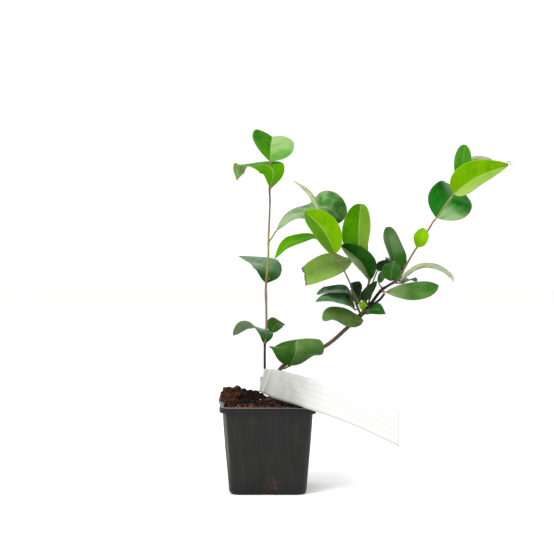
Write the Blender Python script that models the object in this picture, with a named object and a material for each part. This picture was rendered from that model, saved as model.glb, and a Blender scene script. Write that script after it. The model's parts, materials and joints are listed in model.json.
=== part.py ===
"""A young camellia in a square nursery pot, as separate solids in metres with +Z up.

The origin is the centre of the pot's flat underside. +X is the plant's right and -Y its front.
The plant has a short trunk that forks into a thin upright stem and a thicker leaning bough. Each spray
of leaves is one solid: a shoot with leaf stalks and blades fused on. A blank label hangs round the stems.
"""

import math
from collections import namedtuple

import bmesh
import bpy
from mathutils import Matrix, Vector, noise

MM = 0.001

# Pot: half widths and heights of the wall from the foot up, in millimetres
POT_HEIGHT = 82.8
FOOT_LEVELS = ((33.4, 0.0), (35.6, 0.8), (36.5, 3.0))
WALL_LEVELS = ((38.2, 22.0), (40.2, 45.0), (41.6, 64.0))
WALL_TOP = 42.4
WALL_THICKNESS = 1.0
RIM_HALF = 45.5
RIM_LIP = 5.2
RIM_THICKNESS = 1.1
RIM_ROUNDING = 0.6
FLOOR_TOP = 3.6
CORNER_RADIUS = 9.0
CORNER_STEPS = 5
SIDE_STEPS = 3
BACK_LEFT_SPLAY = 4.5
NOTCH_RADIUS = 17.0
NOTCH_HEIGHT = 2.1
NOTCH_REACH = (27.0, 48.0)
DRAIN_RADIUS = 4.0
DRAIN_PLACE = 19.0

# Soil: the heap's height over the pot's foot, in millimetres
SOIL_GAP = 0.35
SOIL_EDGE = 79.5
SOIL_EDGE_DROP = 9.0
SOIL_RINGS = (0.97, 0.86, 0.72, 0.56, 0.38, 0.2)
SOIL_BUMP = 2.2
SOIL_GRAIN = 0.16
SOIL_LOW_SIDE = 3.0
# Each mound is its centre's x and y, its spread and its height
SOIL_MOUNDS = ((-34.0, 14.0, 13.0, 13.5), (-13.0, 15.0, 12.0, 10.0), (3.0, 2.0, 14.0, 5.0))

# Trunk and bare limbs: knots in millimetres, and radii at the foot and the tip
GROUND = 86.4
TRUNK = ((3.0, 0.0, GROUND), (3.0, 0.0, 87.4), (2.9, 0.0, 88.5), (2.2, 0.0, 91.0), (1.9, 0.0, 95.0))
TRUNK_RADII = (4.6, 3.1, 2.7, 2.9)
TRUNK_CLEAR = 10.0
UPRIGHT_STEM = ((-0.4, 0.0, 95.4), (-2.0, 0.0, 104.0), (-3.1, 0.0, 117.2), (-3.1, 0.0, 138.0))
UPRIGHT_RADII = (1.4, 1.15)
LEANING_BOUGH = (
    (3.6, 0.0, 96.0),
    (4.6, 0.2, 99.5),
    (7.4, 0.9, 105.3),
    (13.5, 2.0, 116.6),
    (31.0, 4.0, 127.1),
    (56.2, 5.0, 137.1),
    (76.5, 3.0, 154.3),
    (82.6, 1.6, 160.4),
)
LEANING_RADII = (2.1, 1.8)
UPPER_BOUGH = ((132.6, 0.0, 213.5), (136.5, 0.0, 220.5), (141.0, 0.0, 228.0))
UPPER_RADII = (1.05, 0.9)
TUBE_STEPS = 3

# Leaves
LEAF_THICKNESS = 0.8
LEAF_ROWS = 7
LEAF_COLUMNS = 4
LEAF_END_HALF = 0.5
MIDRIB_STEPS = 6
MIDRIB_LOOK = 0.06
END_ROWS_CLOSER = 0.07
STALK_RADII = (0.95, 0.5)
STALK_IN_BLADE = (0.12, 0.3)
THREAD_RADII = (0.5, 0.4)
SCRAP_SHARE = 0.02

# Label: its strip's lower and upper edge from the stems out to the front, and the loop round the stems
LABEL_THICKNESS = 0.7
LABEL_FOOT = (
    (-8.6, -6.5, 94.0),
    (5.4, -9.5, 87.8),
    (34.2, -45.9, 83.3),
    (75.7, -90.0, 73.6),
    (114.7, -125.0, 59.6),
)
LABEL_TOP = (
    (-3.6, -6.5, 115.8),
    (9.7, -9.5, 114.9),
    (37.5, -45.9, 111.5),
    (78.0, -89.5, 104.0),
    (114.7, -125.0, 91.0),
)
LABEL_STEPS = 4
LOOP_FOOT = 98.0
LOOP_HEIGHT = 9.0
LOOP = (
    (-8.2, -5.9),
    (-10.6, -1.0),
    (-8.0, 5.6),
    (0.0, 8.6),
    (9.5, 7.8),
    (15.0, 2.5),
    (15.6, -8.0),
    (13.6, -14.6),
)

# A leaf: the share of the shoot where its stalk starts; the knots of its midrib from base to tip; its width;
# the ways from its midrib to its right edge at the base and at the tip, seen from above with the tip ahead;
# how far each half folds up; where along it the blade is widest; the power that makes its outline full; and
# the share of it that is left where its end is torn off. Places are in millimetres, turns in degrees.
Leaf = namedtuple(
    "Leaf",
    "foot spine width right end_right fold widest power left_over",
    defaults=(12, 0.47, 0.6, 1.0),
)

# A spray: its colour, its shoot's knots, the shoot's radii at foot and tip, its leaves and its threads
Spray = namedtuple("Spray", "colour knots radii leaves threads", defaults=((),))

YOUNG_GREEN = (0.235, 0.45, 0.03)
MID_GREEN = (0.085, 0.25, 0.03)
DARK_GREEN = (0.03, 0.12, 0.03)

LOWER_LEAVES = (
    Leaf(0.03, ((-3.5, -3, 140), (-2, -2.5, 149), (-10, 8, 154.5), (-22.5, 12.5, 156.5),
                (-34, 23.5, 146)), 20,
         (0.9, 0.43, 0.07), (0.43, 0.68, -0.6), 2, 0.5, 0.58),
    Leaf(0.1, ((3.5, 10, 149.5), (8, 18, 157.5), (17, 28, 156)), 17,
         (0, -0.63, -0.78), (0.67, -0.57, -0.48), 11, 0.37, 0.97),
    Leaf(0.6, ((-1.5, 4, 197.5), (-3, 12.5, 214), (-30, 40, 224)), 30,
         (0.83, 0.39, 0.39), (0.54, 0.82, 0.19), 12, 0.44, 0.99),
    Leaf(0.76, ((1, 5, 201.5), (2, 28, 204), (3, 48, 199)), 18, (1, 0, 0), (1, 0, 0)),
)

TOP_LEAVES = (
    Leaf(0.16, ((8.5, -2, 249), (21.5, 2.5, 262), (36, 6.5, 267), (57.5, 10, 271.5),
                (74, 30.5, 259)), 35,
         (0.55, -0.82, -0.16), (-0.87, -0.26, -0.42), 0, 0.66, 0.4),
    Leaf(0.74, ((2.5, -2.5, 289), (4.5, -5, 306.5), (-8, 8, 313.5), (-26.5, 22.5, 312.5),
                (-31, 16.5, 298)), 31,
         (0.99, 0, 0.13), (0.73, 0.67, 0.15), 1, 0.46, 1),
    Leaf(0.97, ((2.5, 3, 315.5), (2.5, 25.5, 331), (4, 50.5, 344)), 47,
         (0.95, 0.16, -0.26), (0.96, 0.22, -0.15), 25, 0.45, 0.38),
)

FOOT_LEAVES = (
    Leaf(0.6, ((22, -4.5, 118.5), (26, -11.5, 132.5), (26, -8, 144)), 56,
         (0.93, 0.34, 0.15), (0.64, -0.09, 0.76), -2, 0.66, 0.39),
)

FORK_LEAVES = (
    Leaf(0.2, ((91, -7, 161.5), (80.5, -11, 163), (71, -13, 167), (60, -17, 169),
                (52.5, -19, 163)), 18,
         (-0.2, 0.1, 0.93), (-0.6, 0.4, 0.5), 2, 0.47, 0.5),
    Leaf(0.34, ((93.5, -3, 171.5), (103, -14.5, 173.5), (112, -17.5, 169)), 16,
         (-0.38, -0.79, -0.49), (-0.34, -0.41, -0.85), 5, 0.36, 0.91),
    Leaf(0.22, ((92.5, -8, 173.5), (90.5, -11, 177), (88, -13, 180)), 8, (0.7, 0, 0.7), (0.7, 0, 0.7)),
    Leaf(0.42, ((87.5, 7, 178.5), (83.5, 26, 187.5), (82, 46, 189.5)), 18, (1, 0, 0), (1, 0, 0)),
    Leaf(0.3, ((91.5, -8, 180), (97.5, -10, 189.5), (104.5, -10, 200)), 14,
         (0.27, -0.77, -0.57), (0.86, -0.51, 0.01), 22, 0.35, 0.66),
)

LEFT_TWIG_LEAVES = (
    Leaf(0.97, ((64, -20, 226.5), (52.5, -25, 249), (35.5, -28.5, 266)), 31,
         (0.9, 0.4, 0.16), (0.74, 0.18, 0.65), 32, 0.49, 0.47),
    Leaf(0.9, ((63.5, -14.5, 231.5), (53, -10, 255.5), (43.5, -14, 274.5), (37, -11, 285.5),
                (24.5, -14, 296)), 19,
         (0.05, 0.99, -0.14), (0.24, 0.97, 0.07), 18, 0.46, 0.8),
    Leaf(0.86, ((60, -10, 233), (44, -12.5, 242.5), (26.5, -21, 238.5), (15.5, -22.5, 232.5),
                (6.5, -22, 221.5)), 21,
         (-0.47, 0.74, 0.48), (-0.47, 0.87, 0.15), 9, 0.57, 0.89),
    Leaf(0.78, ((60, -10, 231), (57, 14, 244), (56, 38, 242)), 22, (1, 0, 0), (1, 0, 0)),
    Leaf(0.22, ((81.5, -10, 183), (75, -15, 191.5), (58, -16.5, 191.5), (54.5, -17, 191.5),
                (47, -17.5, 187.5)), 16,
         (-0.25, 0.81, 0.54), (-0.1, 0.95, 0.31), 5, 0.39, 0.38),
    Leaf(0.08, ((83, -12, 173.5), (75, -16.5, 181.5), (63.5, -19.5, 183.5), (55, -22, 184),
                (45.5, -24, 181)), 20,
         (-0.25, 0.65, 0.72), (-0.35, 0.83, 0.44), 11, 0.26, 0.6),
    Leaf(0.16, ((87, 3, 181.5), (85.5, 13, 191), (87.5, 20, 199)), 13,
         (0.59, 0.6, -0.55), (0.8, -0.02, 0.59), 18, 0.64, 0.56),
)

INNER_TWIG_LEAVES = (
    Leaf(0.98, ((89.5, 8, 214.5), (88.5, 11, 246), (90.5, 15.5, 275)), 33,
         (0.64, -0.54, -0.55), (0.81, -0.17, 0.55), 27, 0.52, 0.43),
    Leaf(0.62, ((99, 0, 201), (89, -8, 218.5), (70, -6, 234.5)), 30,
         (0.48, 0, 0.88), (0.44, 0.38, 0.81), 50, 0.52, 0.68),
    Leaf(0.9, ((85, 3, 222.5), (73, 1.5, 217), (58, -3.5, 213), (38.5, -7.5, 205),
                (18.5, -1.5, 200.5)), 32,
         (-0.39, -0.01, 0.92), (-0.79, 0.2, 0.57), 41, 0.57, 0.99, 0.79),
    Leaf(0.14, ((106.5, 10, 209.5), (112.5, 13, 214.5), (117.5, 15, 219.5)), 13,
         (0.5, -0.6, -0.5), (0.5, -0.6, -0.5)),
    Leaf(0.94, ((91.5, 12, 218), (86, 30, 239.5), (84, 52, 249)), 24, (1, 0, 0), (1, 0, 0)),
)

RIGHT_LEAVES = (
    Leaf(0.72, ((126.5, 15, 211), (120.5, 14, 232), (118, 20, 252.5)), 25,
         (0.62, 0.76, 0.1), (0.87, 0.1, 0.45), 30, 0.25, 0.42),
    Leaf(0.82, ((121, -8.5, 218.5), (118, -20, 212.5), (115.5, -31, 201)), 18,
         (-0.96, 0.26, 0.07), (-0.94, 0.2, 0.29), 6, 0.65, 0.4),
    Leaf(0.2, ((107, 0, 198), (110.5, 0, 204.5), (114.5, 1, 212.5)), 9,
         (0.7, -0.6, -0.3), (0.7, -0.6, -0.3)),
    Leaf(0.66, ((127.5, 2, 199.5), (139, 6, 208.5), (149.5, 10, 213), (163.5, 12, 212.5),
                (176, 14, 205), (181, 13, 199)), 15,
         (0.1, -0.99, 0.07), (0.25, -0.97, 0.06), 28, 0.41, 0.52),
    Leaf(0.1, ((113.5, -6.5, 189.5), (139.5, -13, 192.5), (162, -20.5, 196)), 22,
         (0.26, 0.39, -0.88), (-0.03, 0.57, -0.82), 21, 0.58, 0.52),
    Leaf(0.5, ((130.5, 8, 197.5), (138.5, 20, 201), (146.5, 32, 198.5)), 14,
         (0.7, -0.6, 0), (0.7, -0.6, 0)),
    Leaf(0.6, ((125, 16, 204), (126.5, 32, 218), (125.5, 50, 221.5)), 22, (1, 0, 0), (1, 0, 0)),
)

UPPER_RIGHT_LEAVES = (
    Leaf(0.07, ((143.5, -3, 232.5), (147, -9, 241.5), (149.5, -6, 251)), 15,
         (0.89, -0.33, -0.31), (0.9, -0.18, -0.39), 15, 0.52, 0.67),
    Leaf(0.5, ((163.5, 4, 261), (178.5, 17, 279), (186, 40.5, 292.5)), 47,
         (0.53, -0.35, -0.77), (0.88, 0.36, -0.3), 21, 0.37, 0.69),
    Leaf(0.98, ((178.5, -4, 284), (202, -6.5, 300), (229.5, -17, 311)), 37,
         (0.25, -0.36, -0.9), (0.8, -0.52, -0.31), 38, 0.35, 0.67),
    Leaf(0.95, ((185, 4, 288.5), (188.5, 8, 312), (191.5, 11, 332.5)), 17,
         (1, 0.07, -0.03), (0.95, -0.03, -0.3), 12, 0.6, 0.48),
    Leaf(0.9, ((185, 14, 288), (197, 22, 317), (221.5, 28, 319)), 14,
         (0.2, -0.95, 0.1), (0, -0.9, 0.4), 8, 0.4, 0.5),
)

SPRAYS = {
    "upright_lower_leaves": Spray(
        MID_GREEN,
        (
            (-3.1, 0, 138.35),
            (-2.6, 0, 147),
            (-1.6, 0, 156),
            (-1.6, 0, 172),
            (-2.1, 0, 195),
            (-0.6, 0, 211),
            (0.4, 0, 226),
        ),
        (1.15, 1.0),
        LOWER_LEAVES,
    ),
    "upright_top_leaves": Spray(
        YOUNG_GREEN,
        ((0.4, 0, 226.35), (0.5, 0, 240), (1.3, 0, 260), (1.9, 0, 278), (1.4, 0, 291), (2.2, 0.5, 312)),
        (1.0, 0.75),
        TOP_LEAVES,
    ),
    "foot_leaf": Spray(
        MID_GREEN,
        ((14.9, -0.4, 115.3), (17, -3.2, 116.2), (20.2, -5, 118.4)),
        (0.95, 0.8),
        FOOT_LEAVES,
    ),
    "fork_leaves": Spray(
        DARK_GREEN,
        ((82.9, 1.5, 160.7), (89.8, 0, 167), (96.5, 0, 174.5), (102.4, 0, 182), (106.4, 0, 187.5)),
        (1.8, 1.5),
        FORK_LEAVES,
    ),
    "left_twig_leaves": Spray(
        YOUNG_GREEN,
        (
            (88.8, -1.6, 168.9),
            (85.7, -5, 176),
            (82.6, -8, 184),
            (79.3, -12, 196),
            (72, -16, 211.7),
            (66.4, -19, 222.3),
            (64.6, -20, 225.4),
        ),
        (0.95, 0.7),
        LEFT_TWIG_LEAVES,
    ),
    "inner_twig_leaves": Spray(
        YOUNG_GREEN,
        ((96.4, -2, 176.6), (92.8, -3.4, 184), (95, -4, 192), (97, -3.4, 200), (95, 0, 210)),
        (0.95, 0.7),
        INNER_TWIG_LEAVES,
    ),
    "right_leaves": Spray(
        DARK_GREEN,
        (
            (106.9, 0, 188.05),
            (110.6, 0, 191.8),
            (117, 0, 196),
            (124.3, 0, 200.5),
            (129, 0, 207),
            (132.4, 0, 213.2),
        ),
        (1.45, 1.05),
        RIGHT_LEAVES,
    ),
    "upper_right_leaves": Spray(
        YOUNG_GREEN,
        (
            (141.2, 0, 228.35),
            (154.9, 0, 249.2),
            (159.3, 0, 256.7),
            (163, 0, 261.1),
            (171.9, -1, 274.3),
            (178.2, -3, 282.4),
        ),
        (0.9, 0.75),
        UPPER_RIGHT_LEAVES,
        (((225.5, -15.3, 309.6), (229.6, -16.6, 314.4), (231.8, -16.6, 311.8), (234.4, -16.6, 309.8)),),
    ),
}


def clear_scene():
    """Removes what the file holds."""
    for thing in list(bpy.data.objects):
        bpy.data.objects.remove(thing, do_unlink=True)


def surface(name, colour, roughness):
    """A plain surface with a colour and a gloss."""
    material = bpy.data.materials.new(name)
    material.use_nodes = True
    shader = material.node_tree.nodes["Principled BSDF"]
    shader.inputs["Base Color"].default_value = (*colour, 1.0)
    shader.inputs["Roughness"].default_value = roughness
    shader.inputs["Metallic"].default_value = 0.0
    material.diffuse_color = (*colour, 1.0)
    return material


def place_object(name, mesh, material=None):
    """Puts a mesh in the scene as an object of that name."""
    thing = bpy.data.objects.new(name, mesh)
    bpy.context.scene.collection.objects.link(thing)
    if material:
        mesh.materials.clear()
        mesh.materials.append(material)
    return thing


def mesh_from(shape, name):
    """A mesh with its faces pointing out, from a bmesh, which it frees."""
    bmesh.ops.recalc_face_normals(shape, faces=shape.faces)
    mesh = bpy.data.meshes.new(name)
    shape.to_mesh(mesh)
    shape.free()
    return mesh


def smooth_path(knots, steps):
    """Points of a smooth curve through the knots, with so many steps from one knot to the next."""
    knots = [Vector(knot) for knot in knots]
    ends = [2 * knots[0] - knots[1], *knots, 2 * knots[-1] - knots[-2]]
    path = []
    for before, here, after, beyond in zip(ends, ends[1:], ends[2:], ends[3:]):
        for step in range(steps):
            t = step / steps
            bend = 2 * before - 5 * here + 4 * after - beyond
            turn = 3 * here - before - 3 * after + beyond
            path.append((2 * here + (after - before) * t + bend * t**2 + turn * t**3) / 2)
    return [*path, knots[-1]]


def at_share(values, share):
    """The value that lies at a share of the way along a list of evenly spaced ones."""
    place = share * (len(values) - 1)
    first = min(int(place), len(values) - 2)
    rest = place - first
    return values[first] * (1 - rest) + values[first + 1] * rest


def tube(name, path, radii, rounding):
    """A closed tapering tube along a path in millimetres, as a mesh object."""
    curve = bpy.data.curves.new(name, "CURVE")
    curve.dimensions = "3D"
    curve.bevel_depth = MM
    curve.bevel_resolution = rounding
    curve.use_fill_caps = True
    spline = curve.splines.new("POLY")
    spline.points.add(len(path) - 1)
    for number, (point, place) in enumerate(zip(spline.points, path)):
        point.co = (*(place * MM), 1.0)
        point.radius = at_share(radii, number / (len(path) - 1))
    guide = place_object(name, curve)
    graph = bpy.context.evaluated_depsgraph_get()
    shape = bmesh.new()
    shape.from_mesh(bpy.data.meshes.new_from_object(guide.evaluated_get(graph)))
    bpy.data.objects.remove(guide)
    bmesh.ops.remove_doubles(shape, verts=shape.verts, dist=1e-6)
    return place_object(name, mesh_from(shape, name))


def splayed(spot):
    """The spot moved out where the soft pot's back left corner bulges towards the rim."""
    rise = (max(spot.z, 0.0) / POT_HEIGHT) ** 2
    left = max(-spot.x / WALL_TOP, 0.0) ** 2
    back = max(spot.y / WALL_TOP, 0.0)
    return spot - Vector((BACK_LEFT_SPLAY * rise * left * back, 0.0, 0.0))


def rounded_ring(shape, half, height, radius):
    """A ring of vertices round a square with rounded corners, at a height in millimetres."""
    ring = []
    inner = half - radius
    for corner in range(4):
        turn = Matrix.Rotation(corner * math.pi / 2, 3, "Z")
        for step in range(CORNER_STEPS + 1):
            angle = step * math.pi / 2 / CORNER_STEPS
            spot = Vector((inner + radius * math.cos(angle), inner + radius * math.sin(angle), height))
            ring.append(turn @ spot)
        for step in range(1, SIDE_STEPS + 1):
            along = inner * (1 - 2 * step / (SIDE_STEPS + 1))
            ring.append(turn @ Vector((along, half, height)))
    return [shape.verts.new(splayed(spot) * MM) for spot in ring]


def join_rings(shape, rings):
    """Faces between each ring and the next, and a face over the first and the last one."""
    for lower, upper in zip(rings, rings[1:]):
        for here in range(len(lower)):
            after = (here + 1) % len(lower)
            shape.faces.new((lower[here], lower[after], upper[after], upper[here]))
    shape.faces.new(rings[0][::-1])
    shape.faces.new(rings[-1])


def wall_half(height):
    """The outer half width of the pot's wall at a height."""
    wall = [*FOOT_LEVELS, *WALL_LEVELS, (WALL_TOP, POT_HEIGHT)]
    for (half, low), (wider, high) in zip(wall, wall[1:]):
        if height <= high:
            return half + (wider - half) * (height - low) / (high - low)
    return WALL_TOP


def make_pot():
    """A thin tapering pot with a turned-down rim, four notches under its sides and four drain holes."""
    inside = WALL_TOP - WALL_THICKNESS
    lip_foot = POT_HEIGHT - RIM_LIP
    under_rim = POT_HEIGHT - RIM_THICKNESS
    lip_inside = RIM_HALF - RIM_THICKNESS
    profile = [(half, height, CORNER_RADIUS) for half, height in (*FOOT_LEVELS, *WALL_LEVELS)]
    profile += [
        (WALL_TOP, lip_foot, CORNER_RADIUS),
        (WALL_TOP, under_rim, CORNER_RADIUS),
        (lip_inside, under_rim, CORNER_RADIUS + 1.5),
        (lip_inside, lip_foot, CORNER_RADIUS + 1.5),
        (RIM_HALF, lip_foot, CORNER_RADIUS + 2.5),
        (RIM_HALF, POT_HEIGHT - RIM_ROUNDING, CORNER_RADIUS + 2.5),
        (RIM_HALF - RIM_ROUNDING, POT_HEIGHT, CORNER_RADIUS + 2),
        (inside + RIM_ROUNDING, POT_HEIGHT, CORNER_RADIUS),
        (inside, POT_HEIGHT - RIM_ROUNDING, CORNER_RADIUS - 0.5),
    ]
    for height in (*[height for half, height in WALL_LEVELS[::-1]], FLOOR_TOP):
        profile.append((wall_half(height) - WALL_THICKNESS, height, CORNER_RADIUS - 0.5))
    shape = bmesh.new()
    join_rings(shape, [rounded_ring(shape, *level) for level in profile])
    pot = place_object("pot", mesh_from(shape, "pot"), surface("pot plastic", (0.032, 0.034, 0.034), 0.45))
    cutters = bpy.data.collections.new("pot cutters")
    bpy.context.scene.collection.children.link(cutters)
    near, far = NOTCH_REACH
    notch = Vector((0.0, (near + far) / 2, NOTCH_HEIGHT - NOTCH_RADIUS)) * MM
    lying = Matrix.Translation(notch) @ Matrix.Rotation(math.pi / 2, 4, "X")
    hole = Matrix.Translation(Vector((DRAIN_PLACE, DRAIN_PLACE, FLOOR_TOP / 2)) * MM)
    for side in range(4):
        turn = Matrix.Rotation(side * math.pi / 2, 4, "Z")
        cut_round(cutters, turn @ lying, NOTCH_RADIUS, far - near, 48)
        cut_round(cutters, turn @ hole, DRAIN_RADIUS, FLOOR_TOP * 3, 16)
    cut = pot.modifiers.new("holes", "BOOLEAN")
    cut.operation = "DIFFERENCE"
    cut.operand_type = "COLLECTION"
    cut.collection = cutters
    cut.solver = "EXACT"


def cut_round(cutters, matrix, radius, depth, sides):
    """A round cutter in a collection."""
    shape = bmesh.new()
    bmesh.ops.create_cone(
        shape,
        cap_ends=True,
        segments=sides,
        radius1=radius * MM,
        radius2=radius * MM,
        depth=depth * MM,
        matrix=matrix,
    )
    cutter = bpy.data.objects.new("cutter", mesh_from(shape, "cutter"))
    cutter.hide_render = True
    cutter.display_type = "WIRE"
    cutters.objects.link(cutter)


def soil_height(x, y):
    """How high the heaped soil stands at a place, in millimetres, flat where the trunk stands on it."""
    height = SOIL_EDGE - SOIL_LOW_SIDE * max(x, 0.0) / WALL_TOP
    for centre_x, centre_y, spread, rise in SOIL_MOUNDS:
        away = math.hypot(x - centre_x, y - centre_y) / spread
        height += rise * math.exp(-(away**2))
    height += SOIL_BUMP * noise.noise(Vector((x, y, 3.0)) * SOIL_GRAIN)
    trunk_away = math.hypot(x - TRUNK[0][0], y - TRUNK[0][1])
    flat = max(0.0, min(1.0, 2.0 - trunk_away / TRUNK_CLEAR))
    return height * (1 - flat) + (GROUND - SOIL_GAP) * flat


def make_soil():
    """The soil that fills the pot and heaps up over its rim at the left."""
    shape = bmesh.new()
    rings = []
    for height in (FLOOR_TOP + SOIL_GAP, *[height for half, height in WALL_LEVELS]):
        half = wall_half(height) - WALL_THICKNESS - SOIL_GAP
        rings.append(rounded_ring(shape, half, height, CORNER_RADIUS - 1))
    top_half = wall_half(SOIL_EDGE - SOIL_EDGE_DROP) - WALL_THICKNESS - SOIL_GAP
    rings.append(rounded_ring(shape, top_half, SOIL_EDGE - SOIL_EDGE_DROP, CORNER_RADIUS - 1))
    for share in SOIL_RINGS:
        ring = rounded_ring(shape, top_half * share, SOIL_EDGE, (CORNER_RADIUS - 1) * share)
        for vertex in ring:
            vertex.co.z = soil_height(vertex.co.x / MM, vertex.co.y / MM) * MM
        rings.append(ring)
    join_rings(shape, rings)
    shape.faces.ensure_lookup_table()
    bmesh.ops.poke(shape, faces=[shape.faces[-1]])
    centre = min(shape.verts, key=lambda vertex: vertex.co.xy.length)
    centre.co.z = soil_height(0.0, 0.0) * MM
    place_object("soil", mesh_from(shape, "soil"), surface("potting soil", (0.055, 0.028, 0.016), 0.95))


def make_limb(name, knots, radii, material):
    """A bare limb as one tapering solid."""
    limb = tube(name, smooth_path(knots, TUBE_STEPS), radii, 2)
    limb.data.materials.append(material)


def outline_share(leaf, u):
    """The blade's half width at a share of its length, as a share of its widest."""
    stretch = math.log(0.5) / math.log(leaf.widest)
    return math.sin(math.pi * u**stretch) ** leaf.power


def blade_frame(leaf, u):
    """The midrib's place at a share of the leaf's length, and the ways to its right and its upper side."""
    spine = smooth_path(leaf.spine, MIDRIB_STEPS)
    place = at_share(spine, u)
    near, far = max(u - MIDRIB_LOOK, 0.0), min(u + MIDRIB_LOOK, 1.0)
    along = (at_share(spine, far) - at_share(spine, near)).normalized()
    right = Vector(leaf.right).lerp(Vector(leaf.end_right), u)
    right = (right - right.project(along)).normalized()
    return place, right, right.cross(along)


def blade_point(leaf, u, v):
    """The place on the blade at shares of its length and of its half width."""
    place, right, up = blade_frame(leaf, u)
    half = max(leaf.width / 2 * outline_share(leaf, u), LEAF_END_HALF)
    fold = math.radians(leaf.fold)
    return place + right * v * half * math.cos(fold) + up * abs(v) * half * math.sin(fold)


def make_blade(leaf):
    """A leaf blade as a thin closed solid."""
    shape = bmesh.new()
    bmesh.ops.create_grid(shape, x_segments=LEAF_COLUMNS, y_segments=LEAF_ROWS, size=1.0)
    for vertex in shape.verts:
        share = (vertex.co.y + 1) / 2
        share -= END_ROWS_CLOSER * math.sin(2 * math.pi * share)
        vertex.co = blade_point(leaf, share * leaf.left_over, vertex.co.x) * MM
    mesh = bpy.data.meshes.new("blade")
    shape.to_mesh(mesh)
    shape.free()
    blade = place_object("blade", mesh)
    wall = blade.modifiers.new("thickness", "SOLIDIFY")
    wall.thickness = LEAF_THICKNESS * MM
    wall.offset = 0.0
    return blade


def make_stalk(leaf, path):
    """A leaf's stalk, from inside the shoot to a third of the way along the blade's midrib."""
    foot = at_share(path, leaf.foot)
    base = Vector(leaf.spine[0])
    inside = [blade_frame(leaf, share)[0] for share in STALK_IN_BLADE]
    knots = [foot, foot.lerp(base, 0.5), base, *inside]
    return tube("stalk", smooth_path(knots, 2), STALK_RADII, 0)


def fuse(name, trunk, others, material):
    """Joins the parts of a spray into one solid and removes the parts."""
    parts = bpy.data.collections.new(name)
    bpy.context.scene.collection.children.link(parts)
    for part in others:
        bpy.context.scene.collection.objects.unlink(part)
        parts.objects.link(part)
    join = trunk.modifiers.new("join", "BOOLEAN")
    join.operation = "UNION"
    join.operand_type = "COLLECTION"
    join.collection = parts
    join.solver = "EXACT"
    graph = bpy.context.evaluated_depsgraph_get()
    shape = bmesh.new()
    shape.from_mesh(bpy.data.meshes.new_from_object(trunk.evaluated_get(graph)))
    for part in [trunk, *others]:
        bpy.data.objects.remove(part, do_unlink=True)
    bpy.data.collections.remove(parts)
    keep_largest(shape)
    mesh = bpy.data.meshes.new(name)
    shape.to_mesh(mesh)
    shape.free()
    place_object(name, mesh, material)


def keep_largest(shape):
    """Removes loose scraps and the inner skins of sealed hollows, which are the smaller shells."""
    left = set(shape.verts)
    shells = []
    while left:
        shell, front = set(), [left.pop()]
        while front:
            vertex = front.pop()
            shell.add(vertex)
            for edge in vertex.link_edges:
                other = edge.other_vert(vertex)
                if other in left:
                    left.remove(other)
                    front.append(other)
        shells.append(shell)
    shells.sort(key=len)
    for shell in shells[:-1]:
        if len(shell) < SCRAP_SHARE * len(shells[-1]):
            bmesh.ops.delete(shape, geom=list(shell), context="VERTS")


def make_spray(name, spray):
    """One solid of a shoot with all its leaves."""
    path = smooth_path(spray.knots, TUBE_STEPS)
    shoot = tube(name, path, spray.radii, 1)
    parts = []
    for leaf in spray.leaves:
        parts += [make_stalk(leaf, path), make_blade(leaf)]
    for thread in spray.threads:
        parts.append(tube("thread", smooth_path(thread, TUBE_STEPS), THREAD_RADII, 0))
    fuse(name, shoot, parts, surface(name + " green", spray.colour, 0.35))


def make_label():
    """A blank plastic strip that leaves the stems, crosses the rim's front and sticks out past the pot."""
    low, high = smooth_path(LABEL_FOOT, LABEL_STEPS), smooth_path(LABEL_TOP, LABEL_STEPS)
    white = surface("label plastic", (0.86, 0.88, 0.86), 0.4)
    strip = upright_band("label", [(foot, top) for foot, top in zip(low, high)])
    loop = [Vector((x, y, LOOP_FOOT)) for x, y in LOOP]
    lift = Vector((0.0, 0.0, LOOP_HEIGHT))
    band = upright_band("loop", [(spot, spot + lift) for spot in smooth_path(loop, TUBE_STEPS)])
    fuse("label", strip, [band], white)


def upright_band(name, edges):
    """A thin closed band between pairs of lower and upper points in millimetres."""
    shape = bmesh.new()
    columns = [[shape.verts.new(low.lerp(high, share) * MM) for share in (0, 0.5, 1)] for low, high in edges]
    for here, after in zip(columns, columns[1:]):
        for row in range(2):
            shape.faces.new((here[row], after[row], after[row + 1], here[row + 1]))
    mesh = bpy.data.meshes.new(name)
    shape.to_mesh(mesh)
    shape.free()
    band = place_object(name, mesh)
    wall = band.modifiers.new("thickness", "SOLIDIFY")
    wall.thickness = LABEL_THICKNESS * MM
    wall.offset = 0.0
    return band


def main():
    """Builds every solid of the plant."""
    clear_scene()
    make_pot()
    make_soil()
    bark = surface("bark", (0.13, 0.075, 0.055), 0.75)
    make_limb("trunk", TRUNK, TRUNK_RADII, bark)
    make_limb("upright_stem", UPRIGHT_STEM, UPRIGHT_RADII, bark)
    make_limb("leaning_bough", LEANING_BOUGH, LEANING_RADII, bark)
    make_limb("upper_bough", UPPER_BOUGH, UPPER_RADII, bark)
    for name, spray in SPRAYS.items():
        make_spray(name, spray)
    make_label()


main()
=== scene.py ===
"""The looks of a young camellia in a square nursery pot, in metres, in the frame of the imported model.

The pot, the soil, the bare limbs, the sprays of leaves and the label are each made again here, finer than
the solids that they stand for, on the same named sizes. +X is the plant's right and -Y its front.
"""

import json
import math
import random
from collections import namedtuple
from functools import lru_cache

import bmesh
import bpy
from mathutils import Matrix, Vector, noise

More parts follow.
